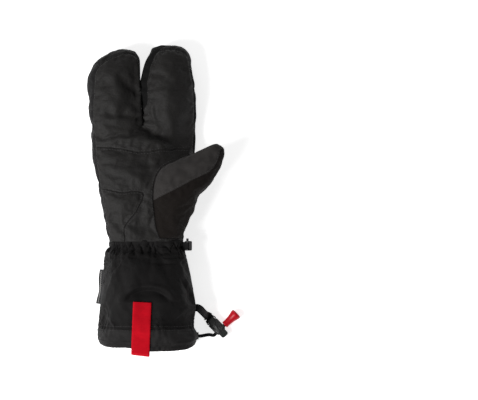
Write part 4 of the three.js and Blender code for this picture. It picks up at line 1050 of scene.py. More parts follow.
class MITT_OT_hand(bpy.types.Operator):
    """Padded hand and thumb: one skin, swollen by its padding and sewn into panels"""

    bl_idname = "mitt.hand"
    bl_label = "Hand panels"

    def execute(self, context):
        lofts = hand_lofts()
        apart = spread_fingers(lofts)
        skin, tris = fused_skin(apart, 1.2, 4)
        verts, panels = cut_panels(skin, tris, panel_rules(lofts))
        every = np.vstack(list(panels.values()))
        seams = seam_lines(panels)
        on_seam = np.unique(np.array(list(seams)))
        verts = verts + carried(verts, *swelling(apart, verts[on_seam]))
        verts = smoothed(verts, every, 3, 0.4)
        verts = smoothed(verts, every, 14, 0.5, 1 - by_thumb(verts))
        side = np.sign(verts[:, 0] - slit_line(verts[:, 1]))
        verts = let_back(verts)
        normals = normals_of(verts, every)
        gap = distance_to(verts, verts[on_seam])
        relief = self.relief(verts, normals, gap) + self.lapped_edge(verts, panels, seams)
        relief = np.where(relief < 0, relief, relief * np.clip(verts[:, 2] / 4.0, 0, 1))
        verts = closed_slit(verts + normals * relief[:, None], normals, side)
        verts[:, 2] *= 1 - HOLLOW_DEPTH * hollow(verts, panels)
        verts[:, 2] = np.maximum(verts[:, 2], 0.25)
        normals = normals_of(verts, every)
        finishes = self.finishes()
        lower_edge = GATHER_SEAM - 2.0
        for name, part in panels.items():
            keep = part[verts[part].mean(1)[:, 1] > lower_edge]
            edge = np.unique(keep)
            verts[edge, 1] = np.maximum(verts[edge, 1], lower_edge)
            v, f = thick_panel(verts, normals, keep, sizes().wall)
            v[:, 2] = np.maximum(v[:, 2], LEAST_HEIGHT)
            slot, material = finishes[name]
            piece(name + "_cloth", v, f, material, replaces=(name,))
            if name in TOPSTITCHED:
                self.topstitch(name, verts, normals, keep, gap, slot)
        return {"FINISHED"}

    def finishes(self):
        """Each panel's slot and material."""
        leather, shell = colours().leather, colours().shell
        palm = ("palm_leather", leather_material("grained_leather", leather))
        back = ("woven_nylon", cloth_material("back_cloth", shell, 0.8))
        gusset = ("woven_nylon", cloth_material("gusset_cloth", colours().gusset, 0.9))
        # Painted shade: the slit and index side strips get the back cloth at a quarter of its colour,
        # darkened for the shade in the slit between the fingers and beside the thumb.
        slit = ("woven_nylon", cloth_material("slit_cloth_painted_shade", Vector(shell) * 0.25, 0.85))
        # Painted shade: the tip caps get the palm leather at 0.62 of its colour, darkened for the shade on
        # the fingertips' rims.
        painted_shade_tips = ("palm_leather", leather_material("tip_leather_painted_shade", Vector(leather) * 0.62))
        return {
            "palm_fingers": palm,
            "palm_middle": palm,
            "palm_heel": palm,
            "index_tip_cap": painted_shade_tips,
            "ring_tip_cap": painted_shade_tips,
            "thumb_front": ("thumb_suede", suede_material()),
            "thumb_gusset": gusset,
            "back_panel": back,
            "index_side_strip": slit,
            "finger_slit_strip": slit,
        }

    def relief(self, verts, normals, gap):
        """Padding between seams, the sewn grooves, puckers beside them, folds and slow unevenness, in mm."""
        out = 0.5 * (1 - np.exp(-((gap / 8.0) ** 2)))
        out -= 0.5 * np.exp(-((gap / 0.9) ** 2))
        out += 0.26 * np.exp(-(((gap - 0.9) / 0.8) ** 2))
        out -= 0.26 * np.exp(-(((gap - 1.8) / 0.55) ** 2))
        s = sizes()
        crowded = by_thumb(verts)
        beside = np.exp(-(((gap - 3.6) / 2.6) ** 2)) * (1 - 0.85 * crowded)
        out += 0.42 * beside * ripple(verts, (7.5, 8.5, 7.5), 5, 1)
        inland = 1 - np.exp(-((gap / 6.0) ** 2))
        out += 0.55 * inland * ripple(verts, (30, 36, 30), 3, 2)
        out += 0.22 * inland * (1 - 0.7 * crowded) * ripple(verts, (11, 13, 11), 8, 2)
        under = np.clip(-normals[:, 2] * 2, 0, 1)
        for line in BACK_SEAMS:
            away = np.abs(side_of(on_hand(line), verts[:, :2]))
            out += under * (0.5 * np.exp(-(((away - 1.6) / 1.2) ** 2)) - 0.9 * np.exp(-((away / 0.9) ** 2)))
        return out - folded(verts, normals, FOLDS, (s.hand_width, s.hand_length))

    def lapped_edge(self, verts, panels, seams):
        """The palm panels' edge lies over the cloth beside it, in mm."""
        outer = [edge for edge, names in seams.items() if len({n.startswith("palm") for n in names}) == 2]
        away = distance_to(verts, verts[np.unique(np.array(outer))])
        palm = np.zeros(len(verts), bool)
        palm[np.unique(np.vstack([part for name, part in panels.items() if name.startswith("palm")]))] = True
        raised = 0.75 * (1 - np.exp(-((away / 0.8) ** 2))) * np.exp(-((away / 4.5) ** 2))
        sunk = -0.8 * np.exp(-((away / 2.6) ** 2))
        return np.where(palm, raised, sunk)

    def topstitch(self, name, verts, normals, tris, gap, slot):
        used = np.unique(tris)
        tree = search_tree(verts[used])
        runs = iso_runs(verts, tris, gap, SEWING_ROW)
        if name == "palm_fingers":
            second = [self.beside_slit(run) for run in iso_runs(verts, tris, gap, SECOND_ROW)]
            runs += [run for run in second if len(run) > 6]
        v, f = stitches(runs, lambda p: normals[used[tree.find(p)[1]]])
        if len(v):
            piece(name + "_stitches", v, f, thread_material())

    def beside_slit(self, run):
        """The part of a second sewing row that runs up the index finger beside the slit."""
        x, y = run[:, 0], run[:, 1]
        index = sample(hand_table(INDEX_FINGER, 1), np.clip(y, crotch_y(), sizes().hand_length))
        keep = (x < (index[:, 1] + index[:, 2]) / 2) & (x > index[:, 1]) & (y > crotch_y())
        return run[keep]


# Gauntlet and hem


def tube_grid(at, count):
    """Rings of the gauntlet's outer face at the given places along it."""
    return rounded_ring(sample(body_table(), at), count, 2.5, 2.5)


def grid_normals(rings):
    around = np.roll(rings, -1, 1) - np.roll(rings, 1, 1)
    along = np.gradient(rings, axis=0)
    normals = np.cross(around, along)
    normals /= np.maximum(np.linalg.norm(normals, axis=2), 1e-9)[..., None]
    outward = rings - rings.mean(1, keepdims=True)
    flip = np.sign((normals * outward).sum(2).mean())
    return normals * flip


def billowing(at, count):
    """How the gauntlet's cloth buckles between elastic and hem: moves of a tube's grid."""
    start = tube_grid(at, count)
    flat = start.reshape(-1, 3)
    hold = np.clip((flat[:, 1] + 7) / 5, 0, 1)
    hold = np.maximum(hold, np.clip((-104 - flat[:, 1]) / 5, 0, 0.9))
    hold = np.maximum(hold, np.clip(1.5 - flat[:, 2] / 2.5, 0, 1))
    loose = np.exp(-np.clip(-flat[:, 1], 0, None) / 14.0)
    settings = {
        "quality": 7, "mass": 0.2, "tension_stiffness": 12, "compression_stiffness": 12,
        "shear_stiffness": 4, "bending_stiffness": 0.25, "uniform_pressure_force": 0.9,
        "shrink_min": -0.03, "shrink_max": -0.16,
    }
    weights = {"vertex_group_mass": hold, "vertex_group_shrink": loose}
    move = simulated("billowing", flat, grid_faces(len(at), count), weights, settings, 24, 6.0)
    return move.reshape(start.shape)


def resampled(grid, rows_from, rows_to, count):
    """A closed grid's values at other rows and at count columns."""
    around = np.linspace(0, grid.shape[1], count, endpoint=False)
    low = np.floor(around).astype(int)
    share = (around - low)[None, :, None]
    wide = grid[:, low % grid.shape[1]] * (1 - share) + grid[:, (low + 1) % grid.shape[1]] * share
    at = np.interp(rows_to, rows_from, np.arange(len(rows_from)))
    row = np.clip(np.floor(at).astype(int), 0, len(rows_from) - 2)
    part = (at - row)[:, None, None]
    return wide[row] * (1 - part) + wide[row + 1] * part


def gather_relief(at, turn):
    """Pleats at the wrist elastic: an uneven zigzag valley with puckers that fade above and below it."""
    rng = np.random.default_rng(21)
    n = sizes().pleats
    ends = rng.uniform(0.8, 4.4, 2 * n) * np.tile((1.0, -1.7), n) + 0.6
    depths = rng.uniform(0.5, 1.7, 2 * n)
    wander = 0.5 * np.sin(3 * turn + 0.6) + 0.35 * np.sin(7 * turn + 2.0) + 0.16 * np.sin(13 * turn)
    phase = (2 * n * turn / (2 * math.pi) + 2 * wander) % (2 * n)
    valley = np.interp(phase, np.arange(2 * n + 1), np.append(ends, ends[0]))
    depth = np.interp(phase, np.arange(2 * n + 1), np.append(depths, depths[0]))
    zig = 1 - np.abs((phase % 2.0) - 1)
    pleat = np.exp(-(((at - valley) / 1.5) ** 2))
    above = np.exp(-np.clip(at - 1.0, 0, None) / 4.0) * (at < GATHER_SEAM + 2)
    below = np.exp(-np.clip(-at - 3.0, 0, None) / 8.0)
    ridge = (zig - 0.5) * np.where(at > 0, 0.8 * above, -1.3 * below)
    return -depth * pleat + ridge


def tube_rows():
    """Places along the gauntlet, closer together at the gathers, and the row of the hem's stitching."""
    s = sizes()
    top, gathers, end = s.hem_height - s.gauntlet_length, -26, GATHER_SEAM + 2.5
    hem = np.linspace(-s.gauntlet_length + 1.2, top, 34)
    cloth = [np.linspace(top, gathers, 74)[1:], np.linspace(gathers, end, 64)[1:]]
    return np.concatenate([hem, *cloth]), len(hem) - 1


def tube_skin(count):
    """The gauntlet's outer face from rim to wrist seam, with its folds, gathers and puckers."""
    s = sizes()
    at, hem_row = tube_rows()
    rings = tube_grid(at, count)
    coarse = np.linspace(-s.gauntlet_length, GATHER_SEAM + 2, 62)
    rings = rings + resampled(billowing(coarse, 120), coarse, at, count)
    normals = grid_normals(rings)
    y = np.repeat(at[:, None], count, 1)
    angle = np.repeat(2 * math.pi * np.arange(count)[None] / count, len(at), 0)
    folds = gauntlet_folds(rings.reshape(-1, 3), normals.reshape(-1, 3))
    relief = gather_relief(y, angle) + folds.reshape(y.shape)
    seam = np.minimum(np.abs(((angle + math.pi) % (2 * math.pi)) - math.pi), np.abs(angle - math.pi))
    relief -= 0.7 * np.exp(-((seam / 0.03) ** 2)) * (y > at[hem_row])
    relief -= 0.85 * np.exp(-(((y - at[hem_row]) / 1.1) ** 2))
    relief += 0.5 * np.exp(-(((y - at[hem_row] + 3.2) / 2.4) ** 2))
    relief += hem_puckers(y, angle, at[hem_row])
    relief -= 2.4 * np.clip((y - GATHER_SEAM + 1.5) / 3.0, 0, 1) ** 2
    relief -= 0.5 * np.exp(-(((y + s.gauntlet_length - 4.5) / 1.0) ** 2))
    relief = np.where(relief < 0, relief, relief * np.clip(rings[..., 2] / 3.0, 0, 1))
    outer = kept_to_sides(rings + normals * relief[..., None], at)
    outer[..., 2] = np.maximum(settle(outer[..., 2], 1.2), LEAST_HEIGHT)
    down = np.clip((at[hem_row] - y) / s.hem_height, 0, 1) ** 2
    outer[..., 1] += sample(RIM, outer[..., 0].ravel())[:, 1].reshape(y.shape) * down
    return outer, grid_normals(outer), hem_row


def kept_to_sides(rings, at):
    """Rings whose two sides reach just as far as the mitt's outline, so that billowing only adds height."""
    s = sizes()
    wanted = sample(GAUNTLET_SIDES, np.clip(-at / s.gauntlet_length, 0, 1.06))[:, 1:] * s.cuff_width
    x = rings[..., 0]
    soft = np.hanning(11) / np.hanning(11).sum()
    low, high = (np.convolve(np.pad(edge, 5, "edge"), soft, "valid") for edge in (x.min(1), x.max(1)))
    middle = (low + high) / 2
    left = np.clip((middle[:, None] - x) / (middle - low)[:, None], 0, 1) ** 2
    right = np.clip((x - middle[:, None]) / (high - middle)[:, None], 0, 1) ** 2
    out = rings.copy()
    keep = np.clip((GATHER_SEAM - at) / 3, 0, 1)
    to_left, to_right = (wanted[:, 0] - low) * keep, (wanted[:, 1] - high) * keep
    out[..., 0] += to_left[:, None] * left + to_right[:, None] * right
    return out


class MITT_OT_gauntlet(bpy.types.Operator):
    """Gauntlet gathered at the wrist elastic, in two halves, and its turned hem"""

    bl_idname = "mitt.gauntlet"
    bl_label = "Gauntlet and hem"

    def execute(self, context):
        count = 480
        outer, normals, hem_row = tube_skin(count)
        material = cloth_material("gauntlet_cloth", colours().gauntlet, 0.62, 0.08)
        inner = outer - normals * 1.6
        for name, first in (("gauntlet_palm_half", 0), ("gauntlet_back_half", count // 2)):
            pick = (first + np.arange(count // 2 + 1)) % count
            v, f = open_wall(outer[hem_row:, pick], inner[hem_row:, pick])
            piece(name + "_cloth", v, f, material, replaces=(name,))
        # Painted light: the hem gets the gauntlet's cloth at 1.45 times its colour, a lighter copy that
        # stands for the light on the turned hem.
        doubled = cloth_material("hem_cloth_painted_light", Vector(colours().gauntlet) * 1.45, 0.62, 0.14)
        self.hem(outer[:hem_row + 1][::-1], normals[:hem_row + 1][::-1], doubled)
        rows = [np.vstack([outer[row], outer[row, :1]]) for row in (hem_row - 3, hem_row + 3)]
        beside = slice(hem_row - 4, hem_row + 4)
        tree = search_tree(outer[beside].reshape(-1, 3))
        near = normals[beside].reshape(-1, 3)
        v, f = stitches(rows, lambda p: near[tree.find(p)[1]])
        v[:, 2] = np.maximum(v[:, 2], 0.1)
        piece("hem_stitches", v, f, thread_material())
        return {"FINISHED"}

    def hem(self, outer, normals, material):
        """The hem's tube: its outer face, a rolled rim and its inner face."""
        count = outer.shape[1]
        wall = 2.8
        inner = outer - normals * wall
        bead = []
        for k in range(1, 8):
            t = math.pi * k / 8
            edge = outer[-1] * (0.5 + 0.5 * math.cos(t)) + inner[-1] * (0.5 - 0.5 * math.cos(t))
            bead.append(edge - np.array([0, 1, 0]) * wall / 2 * math.sin(t))
        loop = np.concatenate([outer, np.array(bead), inner[::-1]])
        faces = grid_faces(len(loop), count)
        last = (len(loop) - 1) * count
        faces += [(k, (k + 1) % count, last + (k + 1) % count, last + k)[::-1] for k in range(count)]
        verts = loop.reshape(-1, 3)
        verts[:, 2] = np.maximum(verts[:, 2], LEAST_HEIGHT)
        piece("hem_casing_cloth", verts, faces, material, replaces=("hem_casing",))


def open_wall(outer, inner):
    """A closed solid between two grids of points that match."""
    rows, cols, _ = outer.shape
    n = rows * cols
    r, k = np.meshgrid(np.arange(rows - 1), np.arange(cols - 1), indexing="ij")
    a = (r * cols + k).ravel()
    quads = np.column_stack([a, a + 1, a + cols + 1, a + cols])
    faces = quads.tolist() + (quads[:, ::-1] + n).tolist()
    border = list(range(cols)) + [(i + 1) * cols - 1 for i in range(1, rows)]
    border += [(rows - 1) * cols + c for c in range(cols - 2, -1, -1)]
    border += [i * cols for i in range(rows - 2, 0, -1)]
    for i, a in enumerate(border):
        b = border[(i + 1) % len(border)]
        faces.append((b, a, a + n, b + n))
    return np.vstack([outer.reshape(-1, 3), inner.reshape(-1, 3)]), faces


def gauntlet_folds(p, normals):
    """Relief of the gauntlet: the hollow under an arched crease above the tab, folds, and broad waves."""
    s = sizes()
    top = np.clip((p[:, 2] - 30) / 16, 0, 1)
    below = p[:, 1] < -59
    arch = np.hypot((p[:, 0] - 7.5) / 24, (p[:, 1] + 59) / np.where(below, 20, 13.5))
    wall = np.clip((1.16 - arch) / 0.26, 0, 1)
    sunk = eased(wall, np.clip(0.3 + 0.7 * arch, 0, 1) ** 1.6)
    dent = -5.2 * sunk * (0.12 + 0.88 * np.clip((p[:, 1] + 60) / 9, 0, 1)) * top
    lip = 1.5 * np.exp(-(((arch - 1.28) / 0.2) ** 2)) * top * ~below
    waves = 0.9 * ripple(p, (38, 52, 40), 11, 2)
    crumpled = 0.7 * ripple(p, (9, 8, 9), 14, 2) * np.exp(-(((p[:, 1] + 3) / 9) ** 2))
    small = 0.35 * ripple(p, (14, 24, 16), 12, 2)
    folds = folded(p, normals, GAUNTLET_FOLDS, (s.cuff_width, s.gauntlet_length))
    return dent + lip + waves + small + crumpled - folds


def hem_puckers(y, angle, line):
    """Small puckers along the hem's stitching."""
    fade = np.exp(-(((y - line) / 6.5) ** 2))
    return 0.45 * fade * np.sin(46 * angle + 1.6 * np.sin(9 * angle)) * (0.6 + 0.4 * np.sin(5 * angle + 1))


# Trim: tab, label, clip, webbing


def body_at(y):
    """The gauntlet's or hand's (at, left, right, low, high) at one place along the mitt."""
    return sample(body_table(), [y])[0]


def right_side(y, z):
    """The gauntlet's thumb-side edge at a height above the surface."""
    _, left, right, low, high = body_at(y)
    rise = min(abs(z - (low + high) / 2) / ((high - low) / 2), 0.999)
    return (left + right) / 2 + (right - left) / 2 * (1 - rise**2.5) ** 0.4


def smooth_path(points, steps):
    """Evenly spaced points on one smooth curve through the given points."""
    p = np.asarray(points, float)
    p = np.vstack([2 * p[0] - p[1], p, 2 * p[-1] - p[-2]])
    fine = []
    t = np.linspace(0, 1, 24)[:, None]
    for a, b, c, d in zip(p[:-3], p[1:-2], p[2:-1], p[3:]):
        ab, bc, cd = (max(np.linalg.norm(v) ** 0.5, 1e-4) for v in (b - a, c - b, d - c))
        out = ((b - a) / ab - (c - a) / (ab + bc) + (c - b) / bc) * bc
        into = ((c - b) / bc - (d - b) / (bc + cd) + (d - c) / cd) * bc
        fine.append(b + out * t + (3 * (c - b) - 2 * out - into) * t**2 + (2 * (b - c) + out + into) * t**3)
    fine = np.vstack([f[:-1] for f in fine] + [fine[-1][-1:]])
    run = np.concatenate([[0], np.cumsum(np.linalg.norm(np.diff(fine, axis=0), axis=1))])
    even = np.linspace(0, run[-1], steps)
    return np.column_stack([np.interp(even, run, fine[:, k]) for k in range(3)])


def tape_section(width, thick, across=9):
    """Cross-section of a flat tape with round edges."""
    half, r = (width - thick) / 2, thick / 2
    arc = np.linspace(-math.pi / 2, math.pi / 2, 6)
    right = np.column_stack([half + r * np.cos(arc), r * np.sin(arc)])
    flat = np.linspace(half, -half, across)[1:-1]
    top = np.column_stack([flat, np.full(len(flat), r)])
    return np.vstack([right, top, -right, -top])


def swept(path, wide, section):
    """Rings of a section carried along a path, its width turned towards wide."""
    along = np.gradient(path, axis=0)
    along /= np.linalg.norm(along, axis=1)[:, None]
    wide = wide - along * (wide * along).sum(1)[:, None]
    wide /= np.linalg.norm(wide, axis=1)[:, None]
    thick = np.cross(along, wide)
    return path[:, None] + section[None, :, :1] * wide[:, None] + section[None, :, 1:] * thick[:, None]


def tape(name, path, wide, size, material, replaces=()):
    """A flat tape of a width and thickness, carried along a path, as a finished piece."""
    v, f = closed_loft(swept(path, wide, tape_section(*size)))
    piece(name, v, f, material, replaces=replaces)


def surface_tree(*names):
    """A search tree over finished pieces, in millimetres from the wrist line's middle."""
    verts, faces, first = [], [], 0
    for name in names:
        v, t = arrays(bpy.data.objects[name].data)
        verts.append(from_frame(v))
        faces.append(t + first)
        first += len(v)
    return BVHTree.FromPolygons([tuple(v) for v in np.vstack(verts)], np.vstack(faces).tolist())


def top_over(tree, x, y, otherwise):
    hit = tree.ray_cast(Vector((x, y, 90.0)), Vector((0, 0, -1)))[0]
    return hit.z if hit else otherwise


# The pull tab: where it starts along the mitt, its sizes, and how it leans towards the thumb (mm)
TAB_TOP = -59.4
TAB_WIDTH = 20.0
TAB_THICKNESS = 1.2
TAB_SLANT = 2.3
TAB_SHIFT = 1.5
TAB_LENGTH = 57.0
TAB_OVERHANG = 5.5
TAB_RETURN = 18.0


class MITT_OT_pull_tab(bpy.types.Operator):
    """Red ribbon over the hem and back inside it"""

    bl_idname = "mitt.pull_tab"
    bl_label = "Pull tab"

    def execute(self, context):
        s = sizes()
        tree = surface_tree("gauntlet_palm_half_cloth", "hem_casing_cloth")
        rim = -s.gauntlet_length
        top_at_rim = body_at(rim)[4]
        lift = 1.2 + TAB_THICKNESS / 2
        under = top_at_rim - 3.2 - lift
        turn = (top_at_rim + lift - under) / 2
        fold = rim - TAB_OVERHANG + turn
        across = np.linspace(-1, 1, 21)
        down = np.linspace(TAB_TOP, rim, 60)
        columns = []
        for u in across:
            middle = TAB_SLANT * (1 + down / TAB_LENGTH) + TAB_SHIFT
            x = middle + u * TAB_WIDTH / 2
            top = np.array([top_over(tree, a, b, body_at(b)[4]) for a, b in zip(x, down)])
            for _ in range(12):
                top[1:-1] = np.maximum(top[1:-1], (top[:-2] + top[2:]) / 2)
            z = top + 0.45 + TAB_THICKNESS / 2
            from_rim = eased(np.clip((down - rim) / 26, 0, 1))
            z = z * from_rim + (top_at_rim + lift) * (1 - from_rim)
            z += 0.35 * np.sin(down * 0.21 + u * 1.3) * np.clip((TAB_TOP - down) / 12, 0, 1) * from_rim
            askew = 0.5 + 0.75 * (TAB_TOP - down) / TAB_LENGTH
            over = np.column_stack([x, down - u * askew, z])
            angle = math.pi / 2 + math.pi * np.arange(1, 13) / 12
            bend_y = fold + turn * np.cos(angle)
            bend_z = under + turn + turn * np.sin(angle)
            back_y = np.array([fold + TAB_RETURN / 2, fold + TAB_RETURN])
            back_z = np.array([under - 0.6, under - 1.2])
            rest_y = np.concatenate([bend_y, back_y])
            rest_x = TAB_SLANT * (1 + rest_y / TAB_LENGTH) + TAB_SHIFT + u * TAB_WIDTH / 2
            rest = np.column_stack([rest_x, rest_y - u * askew[-1], np.concatenate([bend_z, back_z])])
            columns.append(np.vstack([over, rest]))
        grid = np.stack(columns, 1)
        normals = np.cross(np.gradient(grid, axis=1), np.gradient(grid, axis=0))
        normals /= np.linalg.norm(normals, axis=2)[..., None]
        normals *= np.sign(normals[10, 10, 2])
        half = TAB_THICKNESS / 2 * np.sqrt(1 - 0.92 * np.abs(across) ** 10)[None, :, None]
        v, f = open_wall(grid + normals * half, grid - normals * half)
        piece("pull_tab_ribbon", v, f, ribbon_material(), replaces=("pull_tab",))
        return {"FINISHED"}


# The gauntlet's side seams above the surface, and how far outside them the trim starts (mm)
SIDE_SEAM_HEIGHT = 26.4
SEAM_GAP = 0.4


class MITT_OT_label(bpy.types.Operator):
    """Folded side label out of the little-finger side seam"""

    bl_idname = "mitt.label"
    bl_label = "Side label"

    def execute(self, context):
        s = sizes()
        length, width, thickness, droop = 38.0, 8.0, 0.9, math.radians(48)
        steps, turns = 60, 34
        y = -0.22 * s.gauntlet_length - np.linspace(0, length, steps)
        left = sample(GAUNTLET_SIDES, -y / s.gauntlet_length)[:, 1] * s.cuff_width
        seam = np.column_stack([left + 0.9, y, np.full(steps, SIDE_SEAM_HEIGHT)])
        wave = np.sin(y * 0.23) * 0.12
        out = np.column_stack([-np.cos(droop + wave), 0 * y, -np.sin(droop + wave)])
        path = seam + out * width / 2
        size = (width, thickness)
        tape("side_label_tape", path, out, size, label_material(), ("side_label",))
        along = np.linspace(3.5, 56.5, turns)
        zigzag = np.tile((-0.7, 1.3), turns // 2)
        fine = np.linspace(0, turns - 1, (turns - 1) * 8 + 1)
        at, aside = np.interp(fine, np.arange(turns), along), np.interp(fine, np.arange(turns), zigzag)
        middle = np.column_stack([np.interp(at, np.arange(steps), path[:, k]) for k in range(3)])
        facing = np.array([-math.sin(droop), 0, math.cos(droop)])
        run = middle + aside[:, None] * out.mean(0) + facing * (thickness / 2 + 0.12)
        v, f = stitches([run], lambda p: facing, 2.25, 1.9, 0.26)
        piece("label_stitches", v, f, pale_thread_material())
        return {"FINISHED"}


def moulded_copy(node, name, smooth, material, body="mitt", carve=None):
    """A hard piece in its CAD node's place, its edges rounded as moulded plastic has them, then carved."""
    voxel = 0.18
    mesh = bpy.data.objects[node].data.copy()
    made = evaluated(mesh, ("REMESH", {"mode": "VOXEL", "voxel_size": voxel * MM}))
    verts, tris = arrays(made)
    verts = from_frame(smoothed(verts, tris, smooth))
    if carve:
        normals = normals_of(verts, tris)
        verts = verts - normals * carve(verts, normals)[:, None]
    piece(name, verts, tris.tolist(), material, replaces=(node,), body=body)


def lock_place(verts):
    """Points as the lock has them: along its axis, across it and above its middle."""
    c, e = math.cos(LOCK_TURN), math.sin(LOCK_TURN)
    rel = verts - lock_centre()
    return rel[:, 0] * c + rel[:, 1] * e, rel[:, 1] * c - rel[:, 0] * e, rel[:, 2]


def lock_flutes(verts, normals):
    """Long flutes along the lock, a thumb rest beside them and a band round its mouth, in mm."""
    along, across, _ = lock_place(verts)
    faces = np.clip(np.abs(normals[:, 2]) * 2 - 0.6, 0, 1)
    run = np.clip((along + 5.5) / 1.2, 0, 1) * np.clip((7.4 - along) / 1.2, 0, 1)
    flutes = sum(np.exp(-(((across - place) / 0.42) ** 2)) for place in (0.4, 2.2, 4.0))
    rest = 0.8 * np.exp(-(((across + 3.0) / 2.1) ** 2) - ((along + 1.0) / 4.5) ** 2)
    crown = 1.5 * (np.abs(across) / 6.25) ** 3
    band = 0.35 * np.exp(-(((along - 8.2) / 0.4) ** 2))
    return faces * (0.6 * flutes * run + rest + crown) + band


def plunger_ribs(verts, normals):
    """Ribs across the plunger's button, in mm."""
    along, _, _ = lock_place(verts)
    faces = np.clip(np.abs(normals[:, 2]) * 2 - 0.6, 0, 1)
    start, end, pitch = 11.2, 15.2, 1.5
    ribs = faces * 0.3 * (0.5 + 0.5 * np.cos((along - end) * 2 * math.pi / pitch))
    return ribs * (along > start) * (along < end)


class MITT_OT_hardware(bpy.types.Operator):
    """Moulded clip, cord lock, its plunger and the cord's guide"""

    bl_idname = "mitt.hardware"
    bl_label = "Clip, lock and guide"

    def execute(self, context):
        black = plastic_material("satin_plastic", colours().plastic, 0.4)
        grey = plastic_material("plunger_plastic", (0.022, 0.026, 0.024), 0.28)
        moulded_copy("wrist_clip", "wrist_clip_moulding", 3, black)
        moulded_copy("cord_lock_body", "lock_body_moulding", 12, black, carve=lock_flutes)
        moulded_copy("cord_guide", "cord_guide_moulding", 3, black)
        moulded_copy("cord_lock_plunger", "lock_plunger_moulding", 9, grey, "plunger", plunger_ribs)
        self.clip_gate(black)
        return {"FINISHED"}

    def clip_gate(self, material):
        """The sprung gate that fills the hook frame beyond its webbing."""
        steps = 12
        x = np.full(steps, clip_bar_x() + 3.62)
        y = np.linspace(-4.7, 4.7, steps) + CLIP_PLACE
        z = SIDE_SEAM_HEIGHT + 0.25 * np.cos(np.linspace(-4, 4, steps))
        wide = np.tile((1.0, 0.0, 0.0), (steps, 1))
        tape("wrist_clip_gate", np.column_stack([x, y, z]), wide, (2.1, 1.5), material)


# The clip, the cord lock, their webbing, the drawcord and its end, sized as the CAD part has them

CLIP_PLACE = 1.3
CLIP_THICKNESS = 3.6
CLIP_BAR = 2.2
CLIP_TAB = 3.6
WEBBING_CLEARANCE = 0.35
FLOOR_GAP = 0.3
LOCK_END_BAR = 2.6
LOCK_HOLE = 0.31
CORD_END_RADIUS = 6.0
LOCK_TURN = math.radians(-46)
LOCK_LENGTH = 20.0
LOCK_WIDTH = 12.5
LOCK_THICKNESS = 10.8
CORD_DIAMETER = 1.9
CORD_SPACING = 1.8
CORD_IN_END = 8.0
CORD_END_LENGTH = 20.0
WEBBING_WIDTH = 8.0
WEBBING_THICKNESS = 1.0
GUIDE_LENGTH = 6.0


def clip_bar_x():
    return body_at(0)[2] + SEAM_GAP + CLIP_TAB - CLIP_BAR / 2


def lock_centre():
    s = sizes()
    return np.array([s.cuff_width * 0.743, -s.gauntlet_length * 0.779, FLOOR_GAP + LOCK_THICKNESS / 2])


def turned_by_lock(x, y, z=0.0):
    c, e = math.cos(LOCK_TURN), math.sin(LOCK_TURN)
    return np.array([x * c - y * e, x * e + y * c, z])


def from_lock(x, y, z=0.0):
    return lock_centre() + turned_by_lock(x, y, z)


def end_start():
    return from_lock(LOCK_HOLE * LOCK_LENGTH, LOCK_WIDTH / 2 + 0.9)


def end_rise():
    return math.asin((CORD_END_RADIUS + FLOOR_GAP - lock_centre()[2]) / CORD_END_LENGTH)


def guide_centre():
    s = sizes()
    y = -s.gauntlet_length + s.hem_height * 0.56
    return np.array([right_side(y, 12.0) + SEAM_GAP + GUIDE_LENGTH / 2, y, 9.5])


def cord_route():
    """The doubled cord's middle line: guide, floor, lock, cord end."""
    guide, hole, rise = guide_centre(), LOCK_HOLE * LOCK_LENGTH, end_rise()
    near_lock = from_lock(hole, -LOCK_WIDTH / 2)
    return smooth_path(
        [
            guide + (-GUIDE_LENGTH * 0.4, 0, 0),
            guide + (GUIDE_LENGTH * 0.2, 0, 0),
            guide + (GUIDE_LENGTH * 0.8, -0.2, -0.5),
            guide * 0.34 + near_lock * 0.66 + (0, -0.6, -1.8),
            from_lock(hole, -LOCK_WIDTH / 2 - 3, 0.2),
            near_lock,
            from_lock(hole, LOCK_WIDTH / 2),
            end_start(),
            end_start() + turned_by_lock(0, CORD_IN_END * math.cos(rise), CORD_IN_END * math.sin(rise)),
        ],
        36,
    )


def cord_strand(side):
    route = cord_route()
    along = np.gradient(route, axis=0)
    across = np.column_stack([-along[:, 1], along[:, 0], np.zeros(len(route))])
    across /= np.linalg.norm(across, axis=1)[:, None]
    return route + across * side * CORD_SPACING / 2


